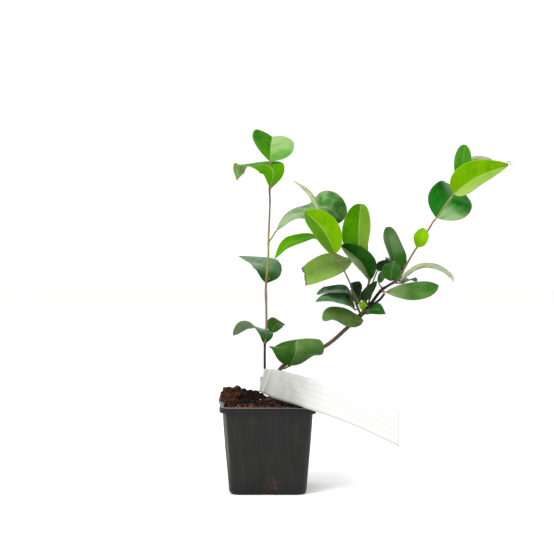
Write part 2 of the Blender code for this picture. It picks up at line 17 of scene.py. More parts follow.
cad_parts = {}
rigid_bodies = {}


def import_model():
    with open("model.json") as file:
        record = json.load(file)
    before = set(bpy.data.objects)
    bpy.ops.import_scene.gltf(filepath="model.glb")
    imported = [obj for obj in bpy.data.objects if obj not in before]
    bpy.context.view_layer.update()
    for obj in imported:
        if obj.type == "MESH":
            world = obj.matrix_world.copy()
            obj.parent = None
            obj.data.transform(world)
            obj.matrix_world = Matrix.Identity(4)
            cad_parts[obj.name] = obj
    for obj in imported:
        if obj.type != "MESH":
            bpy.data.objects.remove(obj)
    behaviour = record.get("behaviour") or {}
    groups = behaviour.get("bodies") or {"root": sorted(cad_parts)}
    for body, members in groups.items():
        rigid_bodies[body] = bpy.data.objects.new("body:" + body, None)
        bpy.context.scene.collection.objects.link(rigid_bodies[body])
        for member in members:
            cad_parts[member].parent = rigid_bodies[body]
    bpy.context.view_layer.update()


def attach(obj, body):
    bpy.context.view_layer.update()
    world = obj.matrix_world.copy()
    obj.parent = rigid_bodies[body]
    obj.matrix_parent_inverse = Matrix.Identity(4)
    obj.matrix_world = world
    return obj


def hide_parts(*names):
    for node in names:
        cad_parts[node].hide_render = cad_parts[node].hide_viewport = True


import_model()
MM = 0.001

# Camera: its place in millimetres, its lens, and how far down its picture is shifted as a share of its width
CAMERA_PLACE = (8.7, -1200.0, 231.0)
CAMERA_LENS = 80.7
CAMERA_SHIFT = -0.0509

# Stage, in metres: the floor's half size, the sky's strength, and each lamp's place, size and power
FLOOR_HALF = 6.0
SKY = 1.12
LAMPS = {
    "key": ((-0.8, -0.9, 1.3), 0.8, 26.0),
    "fill": ((1.1, -0.7, 0.7), 0.9, 2.0),
    "back": ((0.1, 1.1, 1.2), 0.9, 3.0),
}
LAMP_AIM = (0.06, 0.0, 0.2)

# How a screen colour is darkened to the base colour that shows as it in this light
LIGHT = 0.72

# Pot: half widths and heights of the wall from the foot up, in millimetres
POT_HEIGHT = 82.8
FOOT_LEVELS = ((33.4, 0.0), (34.7, 0.25), (35.6, 0.8), (36.1, 1.7), (36.5, 3.0))
WALL_LEVELS = ((38.2, 22.0), (40.2, 45.0), (41.6, 64.0))
WALL_TOP = 42.4
WALL_THICKNESS = 1.0
RIM_HALF = 45.5
RIM_LIP = 5.2
RIM_THICKNESS = 1.1
RIM_ROUNDING = 0.6
ROUND_STEPS = 4
FLOOR_TOP = 3.6
CORNER_RADIUS = 9.0
INNER_CORNER = 8.5
LIP_CORNERS = (10.5, 10.8, 11.2, 11.5)
RIM_CORNER = 11.0
WALL_EASE = 0.4
LIP_EASE = 0.3
SHARP_ANGLE = 35
CORNER_STEPS = 12
SIDE_STEPS = 119
WALL_STEPS = 6
BACK_LEFT_SPLAY = 4.4
FRONT_RIGHT_DROP = 1.8
RIB_PITCH = 2.3
RIB_DEPTH = 0.3
RIB_START = 3.0
RIB_FADE = 6.0
NOTCH_RADIUS = 17.0
NOTCH_HEIGHT = 2.1
NOTCH_REACH = (27.0, 48.0)
DRAIN_RADIUS = 4.0
DRAIN_PLACE = 19.0
NOTCH_SIDES = 96
DRAIN_SIDES = 32

# Soil, in millimetres: its gap to the wall, the height of its edge over the pot's foot, the rings of its mesh
# and its mounds, each with its middle, its reach and its height
SOIL_GAP = 0.35
SOIL_EDGE = 79.5
SOIL_EDGE_DROP = 9.0
SOIL_RINGS = 46
SOIL_OUTER_RING = 0.985
SOIL_INNER_RING = 0.006
SOIL_CORNER = 8.0
SOIL_CORNER_STEPS = 8
SOIL_SIDE_STEPS = 34
SOIL_LOW_SIDE = 3.0
SOIL_MOUNDS = ((-34.0, 14.0, 13.0, 13.5), (-13.0, 15.0, 12.0, 10.0), (3.0, 2.0, 14.0, 5.0))
FLAT_REACH = 8.0
# Clods at the left and in the middle: their middles and their radii, then the size and height of their lumps
SOIL_CLODS = (
    (-42.0, 24.0, 86.5, 5.0), (-41.0, 12.0, 86.0, 4.6), (-37.5, 18.0, 89.8, 5.2),
    (-33.0, 12.0, 91.0, 5.0), (-31.5, 24.0, 90.0, 4.8), (-38.0, 2.0, 84.5, 4.4),
    (-29.0, 5.0, 87.5, 4.4), (-24.0, 18.0, 89.5, 4.2), (-32.0, -9.0, 83.0, 4.2),
    (-17.5, 13.0, 88.5, 4.0), (-12.0, 19.0, 88.0, 3.6), (-6.5, 13.0, 86.8, 3.4),
)
CLOD_ROUGHNESS = ((4.5, 0.55), (1.6, 0.34), (0.7, 0.16))
CLOD_FINENESS = 5
# The size of the soil's lumps and how high they stand
SOIL_GRAINS = ((9.0, 2.2), (3.6, 1.9), (1.5, 0.9))
# Loose crumbs: how many are tried, the smallest and the largest, their stretch, their two screen colours, and
# the shares of them that are left out on red and on dark ground
Crumbs = namedtuple("Crumbs", "tries small large stretch dark light red_out dark_out", defaults=(0, 0))
CRUMBS = {
    "dark": Crumbs(1500, 0.5, 2.2, (1.0, 1.0, 0.8), (10, 8, 6), (34, 24, 18), 0.7, 0),
    "red": Crumbs(1300, 0.5, 2.4, (1.0, 0.9, 0.8), (40, 24, 16), (96, 58, 40), 0, 0.75),
    "chip": Crumbs(300, 0.7, 1.8, (2.4, 0.8, 0.35), (96, 58, 32), (164, 114, 72), 0, 0.6),
    "bark": Crumbs(420, 1.4, 3.4, (2.2, 0.9, 0.5), (96, 58, 34), (156, 110, 72)),
    "perlite": Crumbs(26, 0.6, 1.2, (1.0, 1.0, 0.9), (214, 206, 190), (240, 234, 222)),
}
# Red ground lies left of the first place, and in front of the second one as far as the third to the right.
# Bark chips lie between two places from left to right and two from front to back.
RED_GROUND = (-27, -8, 14)
BARK_GROUND = (-36, -12, -20, -2)
CRUMB_SEED = 4
CRUMB_REACH = 39.5
CRUMB_RADIUS = 0.62
CRUMB_SEAT = 0.25
CRUMB_TILT = 0.5
CRUMB_ROUGHNESS = 0.42
CRUMB_FINENESS = 1.3
SMALL_CRUMBS = 2.2
TRUNK_CLEAR = 7
FULL_TURN = 6.28

# A bare limb: its knots in millimetres, its radii and ages from foot to tip, and how far its bark stands out
Limb = namedtuple("Limb", "knots radii ages relief")
GROUND = 86.4
TRUNK_FOOT = (3.0, 0.0)
LIMBS = {
    "trunk": Limb(
        ((*TRUNK_FOOT, GROUND), (3.0, 0.0, 87.4), (2.9, 0.0, 88.5), (2.2, 0.0, 91.0), (1.9, 0.0, 95.0)),
        (4.6, 3.1, 2.7, 2.9),
        (0.8, 0.9),
        0.35,
    ),
    "upright_stem": Limb(
        ((-0.4, 0.0, 95.4), (-2.0, 0.0, 104.0), (-3.1, 0.0, 117.2), (-3.1, 0.0, 138.0)),
        (1.4, 1.15),
        (1.0, 0.95),
        0.16,
    ),
    "leaning_bough": Limb(
        (
            (3.6, 0.0, 96.0), (4.6, 0.2, 99.5), (7.4, 0.9, 105.3), (13.5, 2.0, 116.6), (31.0, 4.0, 127.1),
            (56.2, 5.0, 137.1), (76.5, 3.0, 154.3), (82.6, 1.6, 160.4),
        ),
        (2.1, 1.8),
        (1.0, 0.95, 0.86, 0.8, 0.78, 0.8, 0.86, 1.0),
        0.22,
    ),
    "upper_bough": Limb(
        ((132.6, 0.0, 213.5), (136.5, 0.0, 220.5), (141.0, 0.0, 228.0)),
        (1.05, 0.9),
        (0.35, 0.3),
        0.1,
    ),
}

# How far each limb and shoot reaches back into what it grows from, and the steps from one knot to the next
SEAM = 1.0
LIMB_STEPS = 12
SHOOT_STEPS = 10
THREAD_STEPS = 8
STALK_STEPS = 4

# How finely round the tubes are, as the curve's bevel resolution, and how far their skin stands out
LIMB_ROUNDING = 5
SHOOT_ROUNDING = 3
STALK_ROUNDING = 2
SHOOT_RELIEF = 0.12
STALK_RELIEF = 0.06
BUD_RELIEF = 0.05

# Relief of bark and skin: how fine its ridges are across and along, and how fine its lumps are
RIDGES_ACROSS = 2.2
RIDGES_ALONG = 0.45
LUMPS = 0.9
LUMPS_PLACE = (7.0, 3.0, 5.0)

# Blades: their mesh, midrib, crease, veins, waves, teeth and torn ends. Lengths are in millimetres, the rest
# are shares of the blade's length or half width.
BLADE_THICKNESS = 0.42
BLADE_ROWS = 60
BLADE_COLUMNS = 22
BLADE_END_HALF = 0.3
END_ROWS_CLOSER = 0.07
MIDRIB_STEPS = 6
MIDRIB_LOOK = 0.06
MIDRIB_GROOVE = 0.3
GROOVE_HALF = 0.7
CREASE = 0.012
CREASE_FOOT = 0.1095
CREASE_EDGE = 1.006
VEIN_SPACING = 5.2
VEIN_SLANT = 1.15
QUILT = 0.06
WAVES = 1.7
WAVE_LAG = 1.9
EDGE_WAVE = 0.45
SMALL_HALF = 8
TOOTH_START = 0.97
TOOTH_PITCH = 2.1
TOOTH_DEPTH = 0.24
TEAR_START = 0.9
TEAR_DEPTH = 14
TEAR_FINENESS = 3.1

# Stalks, buds and the thicker joints of a shoot, in millimetres
STALK_RADII = (0.85, 0.75, 0.7, 0.62, 0.5, 0.38, 0.26, 0.14)
STALK_IN_BLADE = (0.12, 0.3, 0.5, 0.7, 0.88)
STALK_DEPTHS = (0.4, 0.35)
# How much younger than its shoot a stalk or bud is, and where a bud sits and leans to
YOUNGER = 0.5
BUD_SEAT = 0.7
BUD_LEAN = 1.6
BUD_LENGTH = 2.6
BUD_RADIUS = 0.62
BUD_STEPS = 10
POINT_RADIUS = 0.05
JOINT_SWELL = 0.3
JOINT_REACH = 0.03
JOINT_STEPS = 60
JOINT_LOOK = 0.05


def srgb(red, green, blue):
    """The base colour that shows as a screen colour, from 0 to 255, in this light."""
    return tuple(LIGHT * (((part / 255 + 0.055) / 1.055) ** 2.4 if part > 10 else part / 255 / 12.92)
                 for part in (red, green, blue))


# A leaf's tone in screen colours: its upper side near the stalk and towards the tip, the colour that it fades
# to in patches, its underside, its edge, how rough its wax is, how thick it is from 0 to 1 and where along it
# the end turns dry
Tone = namedtuple("Tone", "base upper patch under edge roughness wax dry", defaults=(0.99,))
TONES = {
    "lime": Tone((116, 170, 4), (122, 178, 4), (104, 164, 2), (168, 196, 96), (158, 186, 60), 0.45, 0),
    "dull_lime": Tone(
        (92, 142, 34), (98, 150, 34), (84, 138, 24), (150, 180, 96), (158, 186, 60), 0.45, 0.15),
    "grass": Tone((76, 140, 2), (80, 144, 2), (64, 130, 0), (140, 178, 100), (140, 180, 70), 0.4, 0.1),
    # Painted sheen: its pale upper colour stands for lamp reflections on a tilted leaf half, painted into its
    # colour.
    "sheen": Tone(
        (84, 150, 40), (142, 180, 104), (124, 168, 82), (160, 192, 120), (180, 208, 124), 0.45, 0.8),
    "bright": Tone((72, 148, 0), (62, 136, 0), (46, 114, 4), (106, 156, 50), (104, 160, 60), 0.42, 0.1),
    "olive_lime": Tone(
        (120, 160, 48), (118, 158, 46), (104, 148, 34), (160, 186, 110), (150, 150, 84), 0.42, 0.1),
    "dusty": Tone((110, 140, 84), (132, 158, 112), (110, 140, 84), (110, 138, 96), (80, 76, 48), 0.36, 0.7),
    "pale": Tone(
        (156, 186, 84), (148, 180, 80), (136, 174, 66), (160, 186, 110), (150, 150, 84), 0.42, 0.2),
    "torn": Tone(
        (150, 182, 104), (126, 168, 66), (138, 172, 82), (150, 178, 104), (104, 110, 50), 0.42, 0.3,
        0.975),
    "cream": Tone(
        (178, 196, 150), (188, 204, 152), (164, 188, 120), (196, 212, 166), (150, 150, 96), 0.42,
        0.5),
    # Its pale grey-green is partly painted sheen, lamp reflections painted on a darker green leaf.
    "silver": Tone(
        (146, 170, 126), (116, 156, 90), (56, 118, 40), (152, 180, 132), (104, 70, 44), 0.34, 0.7),
    "deep": Tone((20, 118, 8), (18, 122, 4), (10, 100, 6), (120, 156, 104), (104, 84, 40), 0.22, 1),
    # Painted highlight: its pale colour near the stalk is a gloss patch painted on the deep green leaf.
    "glossy": Tone((140, 178, 120), (20, 118, 8), (10, 100, 6), (120, 156, 104), (104, 84, 40), 0.22, 1),
    "leafy": Tone(
        (128, 160, 98), (66, 120, 32), (92, 136, 64), (112, 152, 84), (54, 92, 40), 0.36, 0.7, 0.975),
    "mid": Tone((66, 136, 24), (72, 146, 24), (60, 132, 18), (120, 160, 84), (96, 130, 50), 0.34, 0.6),
    "forest": Tone((30, 80, 12), (34, 86, 14), (22, 66, 10), (96, 128, 78), (70, 84, 40), 0.3, 0.8),
    "shade": Tone((44, 86, 18), (56, 96, 26), (42, 82, 16), (110, 140, 84), (90, 104, 50), 0.36, 0.6),
    # Its greyer upper colour is partly painted sheen on a dark blue-green leaf.
    "old": Tone((36, 64, 34), (62, 90, 62), (28, 58, 28), (80, 108, 78), (48, 52, 34), 0.3, 1),
    "night": Tone((20, 46, 14), (22, 52, 16), (12, 36, 10), (60, 86, 52), (36, 42, 24), 0.34, 1),
    "olive": Tone((70, 104, 42), (92, 122, 60), (74, 116, 50), (112, 132, 84), (88, 84, 48), 0.38, 0.6),
    # Its pale grey-green upper colour is partly painted sheen on a darker green leaf.
    "grey": Tone((36, 86, 30), (100, 132, 94), (66, 108, 60), (112, 142, 100), (84, 104, 64), 0.32, 0.8),
    "lead": Tone((48, 106, 24), (92, 124, 72), (70, 110, 50), (110, 138, 96), (80, 76, 48), 0.32, 0.8),
}

# A leaf: the share of the shoot where its stalk starts; the knots of its midrib from base to tip; its width;
# the ways from its midrib to its right edge at the base and at the tip, seen from above with the tip ahead;
# how far each half folds up; where along it the blade is widest; the power that makes its outline full; and
# the share of it that is left where its end is torn off. Its tone is one for all of it, or one for its left
# and one for its right half. Places are in millimetres, turns in degrees.
Leaf = namedtuple(
    "Leaf",
    "tone foot spine width right end_right fold widest power left_over",
    defaults=(12, 0.47, 0.6, 1.0),
)

# A bare twig or a dry curl: its knots, and its radii and ages from foot to tip
Thread = namedtuple("Thread", "knots radii ages")

# A spray: its shoot's knots, radii and ages (from 0 to 1) from foot to tip, its leaves and its threads
Spray = namedtuple("Spray", "knots radii ages leaves threads", defaults=((),))

LOWER_LEAVES = (
    Leaf("grey", 0.03, (
        (-3.5, -3, 140), (-2, -2.5, 149), (-10, 8, 154.5), (-22.5, 12.5, 156.5), (-34, 23.5, 146),
    ), 20, (0.9, 0.43, 0.07), (0.43, 0.68, -0.6), 2, 0.5, 0.58),
    Leaf("shade", 0.1, (
        (3.5, 10, 149.5), (8, 18, 157.5), (17, 28, 156),
    ), 17, (0, -0.63, -0.78), (0.67, -0.57, -0.48), 11, 0.37, 0.97),
    Leaf("grey", 0.6, (
        (-1.5, 4, 197.5), (-3, 12.5, 214), (-30, 40, 224),
    ), 30, (0.83, 0.39, 0.39), (0.54, 0.82, 0.19), 12, 0.44, 0.99),
    Leaf("shade", 0.76, ((1, 5, 201.5), (2, 28, 204), (3, 48, 199)), 18, (1, 0, 0), (1, 0, 0)),
)

TOP_LEAVES = (
    Leaf("silver", 0.16, (
        (8.5, -2, 249), (21.5, 2.5, 262), (36, 6.5, 267), (57.5, 10, 271.5), (74, 30.5, 259),
    ), 35, (0.55, -0.82, -0.16), (-0.87, -0.26, -0.42), 0, 0.66, 0.4),
    Leaf("grass", 0.74, (
        (2.5, -2.5, 289), (4.5, -5, 306.5), (-8, 8, 313.5), (-26.5, 22.5, 312.5), (-31, 16.5, 298),
    ), 31, (0.99, 0, 0.13), (0.73, 0.67, 0.15), 1, 0.46, 1),
    # Its right half has the painted sheen tone, lamp reflections painted into its colour.
    Leaf("bright sheen", 0.97, (
        (2.5, 3, 315.5), (2.5, 25.5, 330.9), (4, 50.5, 343.8),
    ), 47, (0.95, 0.16, -0.26), (0.96, 0.22, -0.15), 25, 0.45, 0.38),
)

FOOT_LEAVES = (
    Leaf("shade olive", 0.6, (
        (22, -4.5, 118.5), (27, -11.5, 132.5), (27.5, -8, 144),
    ), 53, (0.93, 0.34, 0.15), (0.64, -0.09, 0.76), -2, 0.66, 0.3),
)

FORK_LEAVES = (
    Leaf("olive", 0.2, (
        (91, -7, 161.5), (80.5, -11, 163), (71, -13, 167), (60, -17, 169), (52.5, -19, 163),
    ), 18, (-0.2, 0.1, 0.93), (-0.6, 0.4, 0.5), 2, 0.47, 0.5),
    Leaf("forest", 0.34, (
        (93.5, -3, 171.5), (103, -14.5, 173.5), (112, -17.5, 169),
    ), 16, (-0.38, -0.79, -0.49), (-0.34, -0.41, -0.85), 5, 0.36, 0.91),
    Leaf("lime", 0.22, (
        (92.5, -8, 173.5), (90.5, -11, 177), (88, -13, 180),
    ), 8, (0.7, 0, 0.7), (0.7, 0, 0.7)),
    Leaf("forest", 0.42, ((87.5, 7, 178.5), (83.5, 26, 187.5), (82, 46, 189.5)), 18, (1, 0, 0), (1, 0, 0)),
    Leaf("night", 0.3, (
        (91.5, -8, 180), (97.5, -10, 189.5), (104.5, -10, 200),
    ), 14, (0.27, -0.77, -0.57), (0.86, -0.51, 0.01), 22, 0.35, 0.66),
)

LEFT_TWIG_LEAVES = (
    Leaf("dull_lime lime", 0.97, (
        (64, -20, 226.5), (52.5, -25, 249), (35.5, -28.5, 266),
    ), 31, (0.9, 0.4, 0.16), (0.74, 0.18, 0.65), 32, 0.49, 0.47),
    Leaf("cream", 0.9, (
        (63.5, -14.5, 231.5), (53, -10, 255.5), (43.5, -14, 274.5), (37, -11, 285.5),
        (24.5, -14, 296),
    ), 19, (0.05, 0.99, -0.14), (0.24, 0.97, 0.07), 18, 0.46, 0.8),
    Leaf("grass", 0.86, (
        (60, -10, 233), (44, -12.5, 242.5), (26.5, -21, 238.5), (15.5, -22.5, 232.5),
        (6.5, -22, 221.5),
    ), 21, (-0.47, 0.74, 0.48), (-0.47, 0.87, 0.15), 9, 0.57, 0.89),
    Leaf("mid", 0.78, ((60, -10, 231), (57, 14, 244), (56, 38, 242)), 22, (1, 0, 0), (1, 0, 0)),
    Leaf("old", 0.22, (
        (81.5, -10, 183), (75, -15, 191.5), (58, -16.5, 191.5), (54.5, -17, 191.5),
        (47, -17.5, 187.5),
    ), 16, (-0.25, 0.81, 0.54), (-0.1, 0.95, 0.31), 5, 0.39, 0.38),
    Leaf("grey", 0.08, (
        (83, -12, 173.5), (75, -16.5, 181.5), (63.5, -19.5, 183.5), (55, -22, 184), (45.5, -24, 181),
    ), 20, (-0.25, 0.65, 0.72), (-0.35, 0.83, 0.44), 11, 0.26, 0.6),
    Leaf("night", 0.16, (
        (87, 3, 181.5), (85.5, 13, 191), (87.5, 20, 199),
    ), 13, (0.59, 0.6, -0.55), (0.8, -0.02, 0.59), 18, 0.64, 0.56),
)

INNER_TWIG_LEAVES = (
    Leaf("grass olive_lime", 0.98, (
        (89.5, 8, 214.5), (88.5, 11, 246), (90.5, 15.5, 275),
    ), 33, (0.64, -0.54, -0.55), (0.81, -0.17, 0.55), 27, 0.52, 0.43),
    Leaf("dusty forest", 0.62, (
        (99, 0, 201), (89, -8, 218.5), (70, -6, 234.5),
    ), 30, (0.48, 0, 0.88), (0.44, 0.38, 0.81), 50, 0.52, 0.68),
    Leaf("torn", 0.9, (
        (85, 3, 222.5), (73, 1.5, 217), (58, -3.5, 213), (38.5, -7.5, 205), (18.5, -1.5, 200.5),
    ), 32, (-0.39, -0.01, 0.92), (-0.79, 0.2, 0.57), 41, 0.57, 0.99, 0.79),
    Leaf("night", 0.14, (
        (106.5, 10, 209.5), (112.5, 13, 214.5), (117.5, 15, 219.5),
    ), 13, (0.5, -0.6, -0.5), (0.5, -0.6, -0.5)),
    Leaf("mid", 0.94, ((91.5, 12, 218), (86, 30, 239.5), (84, 51.8, 249)), 24, (1, 0, 0), (1, 0, 0)),
)

RIGHT_LEAVES = (
    Leaf("lead", 0.72, (
        (126.5, 15, 211), (120.5, 14, 232), (118, 20, 252.5),
    ), 25, (0.62, 0.76, 0.1), (0.87, 0.1, 0.45), 30, 0.25, 0.42),
    Leaf("forest", 0.82, (
        (121, -8.5, 218.5), (118, -20, 212.5), (115.5, -31, 201),
    ), 18, (-0.96, 0.26, 0.07), (-0.94, 0.2, 0.29), 6, 0.65, 0.4),
    Leaf("grey", 0.2, (
        (107, 0, 198), (110.5, 0, 204.5), (114.5, 1, 212.5),
    ), 9, (0.7, -0.6, -0.3), (0.7, -0.6, -0.3)),
    Leaf("cream", 0.66, (
        (127.5, 2, 199.5), (139, 6, 208.5), (149.5, 10, 213), (163.5, 12, 212.5), (176, 14, 205),
        (181, 13, 199),
    ), 15, (0.1, -0.99, 0.07), (0.25, -0.97, 0.06), 28, 0.41, 0.52),
    Leaf("leafy", 0.1, (
        (113.5, -6.5, 189.5), (139.5, -13, 192.5), (162, -20.5, 196),
    ), 22, (0.26, 0.39, -0.88), (-0.03, 0.57, -0.82), 21, 0.58, 0.52),
    Leaf("night", 0.5, (
        (130.5, 8, 197.5), (138.5, 20, 201), (146.5, 32, 198.5),
    ), 14, (0.7, -0.6, 0), (0.7, -0.6, 0)),
    Leaf("forest", 0.6, ((125, 16, 204), (126.5, 32, 218), (125.5, 50, 221.5)), 22, (1, 0, 0), (1, 0, 0)),
)

UPPER_RIGHT_LEAVES = (
    Leaf("lime", 0.07, (
        (143.5, -3, 232.5), (147, -9, 241.5), (149.5, -6, 251),
    ), 15, (0.89, -0.33, -0.31), (0.9, -0.18, -0.39), 15, 0.52, 0.67),
    # Its right half has the painted gloss tone, a highlight painted near its stalk.
    Leaf("deep glossy", 0.5, (
        (163.5, 4, 261), (178.5, 17, 279), (186, 40.5, 292.5),
    ), 47, (0.53, -0.35, -0.77), (0.88, 0.36, -0.3), 21, 0.37, 0.69),
    Leaf("lime pale", 0.98, (
        (178.5, -4, 284), (202, -6.5, 300), (229.5, -17, 311),
    ), 37, (0.25, -0.36, -0.9), (0.8, -0.52, -0.31), 38, 0.35, 0.67),
    Leaf("mid", 0.95, (
        (185, 4, 288.5), (188.5, 8, 312), (191.5, 11, 332.5),
    ), 17, (1, 0.07, -0.03), (0.95, -0.03, -0.3), 12, 0.6, 0.48),
    Leaf("cream", 0.9, (
        (185, 14, 288), (197, 22, 317), (221.5, 28, 319),
    ), 14, (0.2, -0.95, 0.1), (0, -0.9, 0.4), 8, 0.4, 0.5),
)

SPRAYS = {
    "upright_lower_leaves": Spray(
        (
            (-3.1, 0, 138.35), (-2.6, 0, 147), (-1.6, 0, 156), (-1.6, 0, 172), (-2.1, 0, 195),
            (-0.6, 0, 211), (0.4, 0, 226),
        ),
        (1.15, 1.0),
        (0.95, 0.75, 0.62, 0.6, 0.5, 0.08, 0.0),
        LOWER_LEAVES,
    ),
    "upright_top_leaves": Spray(
        ((0.4, 0, 226.35), (0.5, 0, 240), (1.3, 0, 260), (1.9, 0, 278), (1.4, 0, 291), (2.2, 0.5, 312)),
        (1.0, 0.75),
        # The high ages at the fourth and fifth knots paint the shoot near black there: painted shade, not
        # older skin.
        (0.0, 0.15, 0.4, 0.9, 0.9, 0.4),
        TOP_LEAVES,
    ),
    "foot_leaf": Spray(
        ((14.9, -0.4, 115.3), (17, -3.2, 116.2), (20.2, -5, 118.4)),
        (0.95, 0.8),
        (0.7, 0.4),
        FOOT_LEAVES,
    ),
    "fork_leaves": Spray(
        ((82.9, 1.5, 160.7), (89.8, 0, 167), (96.5, 0, 174.5), (102.4, 0, 182), (106.4, 0, 187.5)),
        (1.8, 1.5),
        (1.0, 1.0),
        FORK_LEAVES,
        (
            Thread(
                ((100.5, -0.5, 176.5), (104.0, -1.5, 179.0), (108.4, -2.5, 182.6), (112.4, -3.0, 188.0)),
                (1.3, 1.1), (1.0, 1.0),
            ),
            Thread(
                ((97.0, -0.5, 176.5), (97.6, -3.0, 181.0), (99.5, -5.0, 186.5)),
                (0.9, 0.75), (1.0, 1.0),
            ),
        ),
    ),
    "left_twig_leaves": Spray(
        (
            (88.8, -1.6, 168.9), (85.7, -5, 176), (82.6, -8, 184), (79.3, -12, 196),
            (72, -16, 211.7), (66.4, -19, 222.3), (64.6, -20, 225.4),
        ),
        (0.95, 0.7),
        (0.9, 0.6),
        LEFT_TWIG_LEAVES,
    ),
    "inner_twig_leaves": Spray(
        ((96.4, -2, 176.6), (92.8, -3.4, 184), (95, -4, 192), (97, -3.4, 200), (95, 0, 210)),
        (0.95, 0.7),
        (0.8, 0.2),
        INNER_TWIG_LEAVES,
    ),
    "right_leaves": Spray(
        (
            (106.9, 0, 188.05), (110.6, 0, 191.8), (117, 0, 196), (124.3, 0, 200.5), (129, 0, 207),
            (132.4, 0, 213.2),
        ),
        (1.45, 1.05),
        (1.0, 1.0, 0.95, 0.8, 0.45, 0.3),
        RIGHT_LEAVES,
    ),
    "upper_right_leaves": Spray(
        (
            (141.2, 0, 228.35), (154.9, 0, 249.2), (159.3, 0, 256.7), (163, 0, 261.1),
            (171.9, -1, 274.3), (178.2, -3, 282.4),
        ),
        (0.9, 0.75),
        (0.3, 0.35, 0.3, 0.2, 0.1, 0.0),
        UPPER_RIGHT_LEAVES,
        (
            Thread(
                ((225.5, -15.3, 309.6), (229.6, -16.6, 314.4), (231.8, -16.6, 311.8), (234.4, -16.6, 309.8)),
                (0.42, 0.2), (0.75, 0.6),
            ),
        ),
    ),
}

# Label: its strip's lower and upper edge from the stems out to the front, and the loop round the stems
LABEL_THICKNESS = 0.4
LABEL_FOOT = (
    (-8.6, -6.5, 94.0), (5.4, -9.5, 87.8), (34.2, -45.9, 83.3), (75.7, -90.0, 73.6), (114.7, -125.0, 59.6),
)
LABEL_TOP = (
    (-3.6, -6.5, 115.8), (9.7, -9.5, 114.9), (37.5, -45.9, 111.5), (78.0, -89.5, 104.0),
    (114.7, -125.0, 91.0),
)
LABEL_STEPS = 16
LABEL_ROWS = 10
LOOP_FOOT = 98.0
LOOP_HEIGHT = 9.0
LOOP_STEPS = 8
LOOP_ROWS = 4
LOOP = (
    (-6.6, -5.9), (-7.6, -1.0), (-6.2, 5.6), (0.0, 8.6), (9.5, 7.8), (15.0, 2.5), (15.6, -8.0),
    (13.6, -14.6),
)


class Wire:
    """A shader value that Python's operators add, multiply and compare."""

    def __init__(self, paint, socket):
        self.paint = paint
        self.socket = socket

    def out(self, name):
        """Another output of the same node."""
        return Wire(self.paint, self.socket.node.outputs[name])

    def maths(self, operation, first, second=0.0):
        """A Math node on two values."""
        return self.paint.node("ShaderNodeMath", {"operation": operation}, {0: first, 1: second})

    def __add__(self, other):
        return self.maths("ADD", self, other)

    __radd__ = __add__

    def __sub__(self, other):
        return self.maths("SUBTRACT", self, other)

    def __rsub__(self, other):
        return self.maths("SUBTRACT", other, self)

    def __mul__(self, other):
        return self.maths("MULTIPLY", self, other)

    def __truediv__(self, other):
        return self.maths("DIVIDE", self, other)

    def __pow__(self, other):
        return self.maths("POWER", self, other)

    def __abs__(self):
        return self.maths("ABSOLUTE", self)

    def fraction(self):
        """What is left over its whole part."""
        return self.maths("FRACT", self)

    def at_most(self, other):
        """The smaller of two values."""
        return self.maths("MINIMUM", self, other)

    def at_least(self, other):
        """The larger of two values."""
        return self.maths("MAXIMUM", self, other)


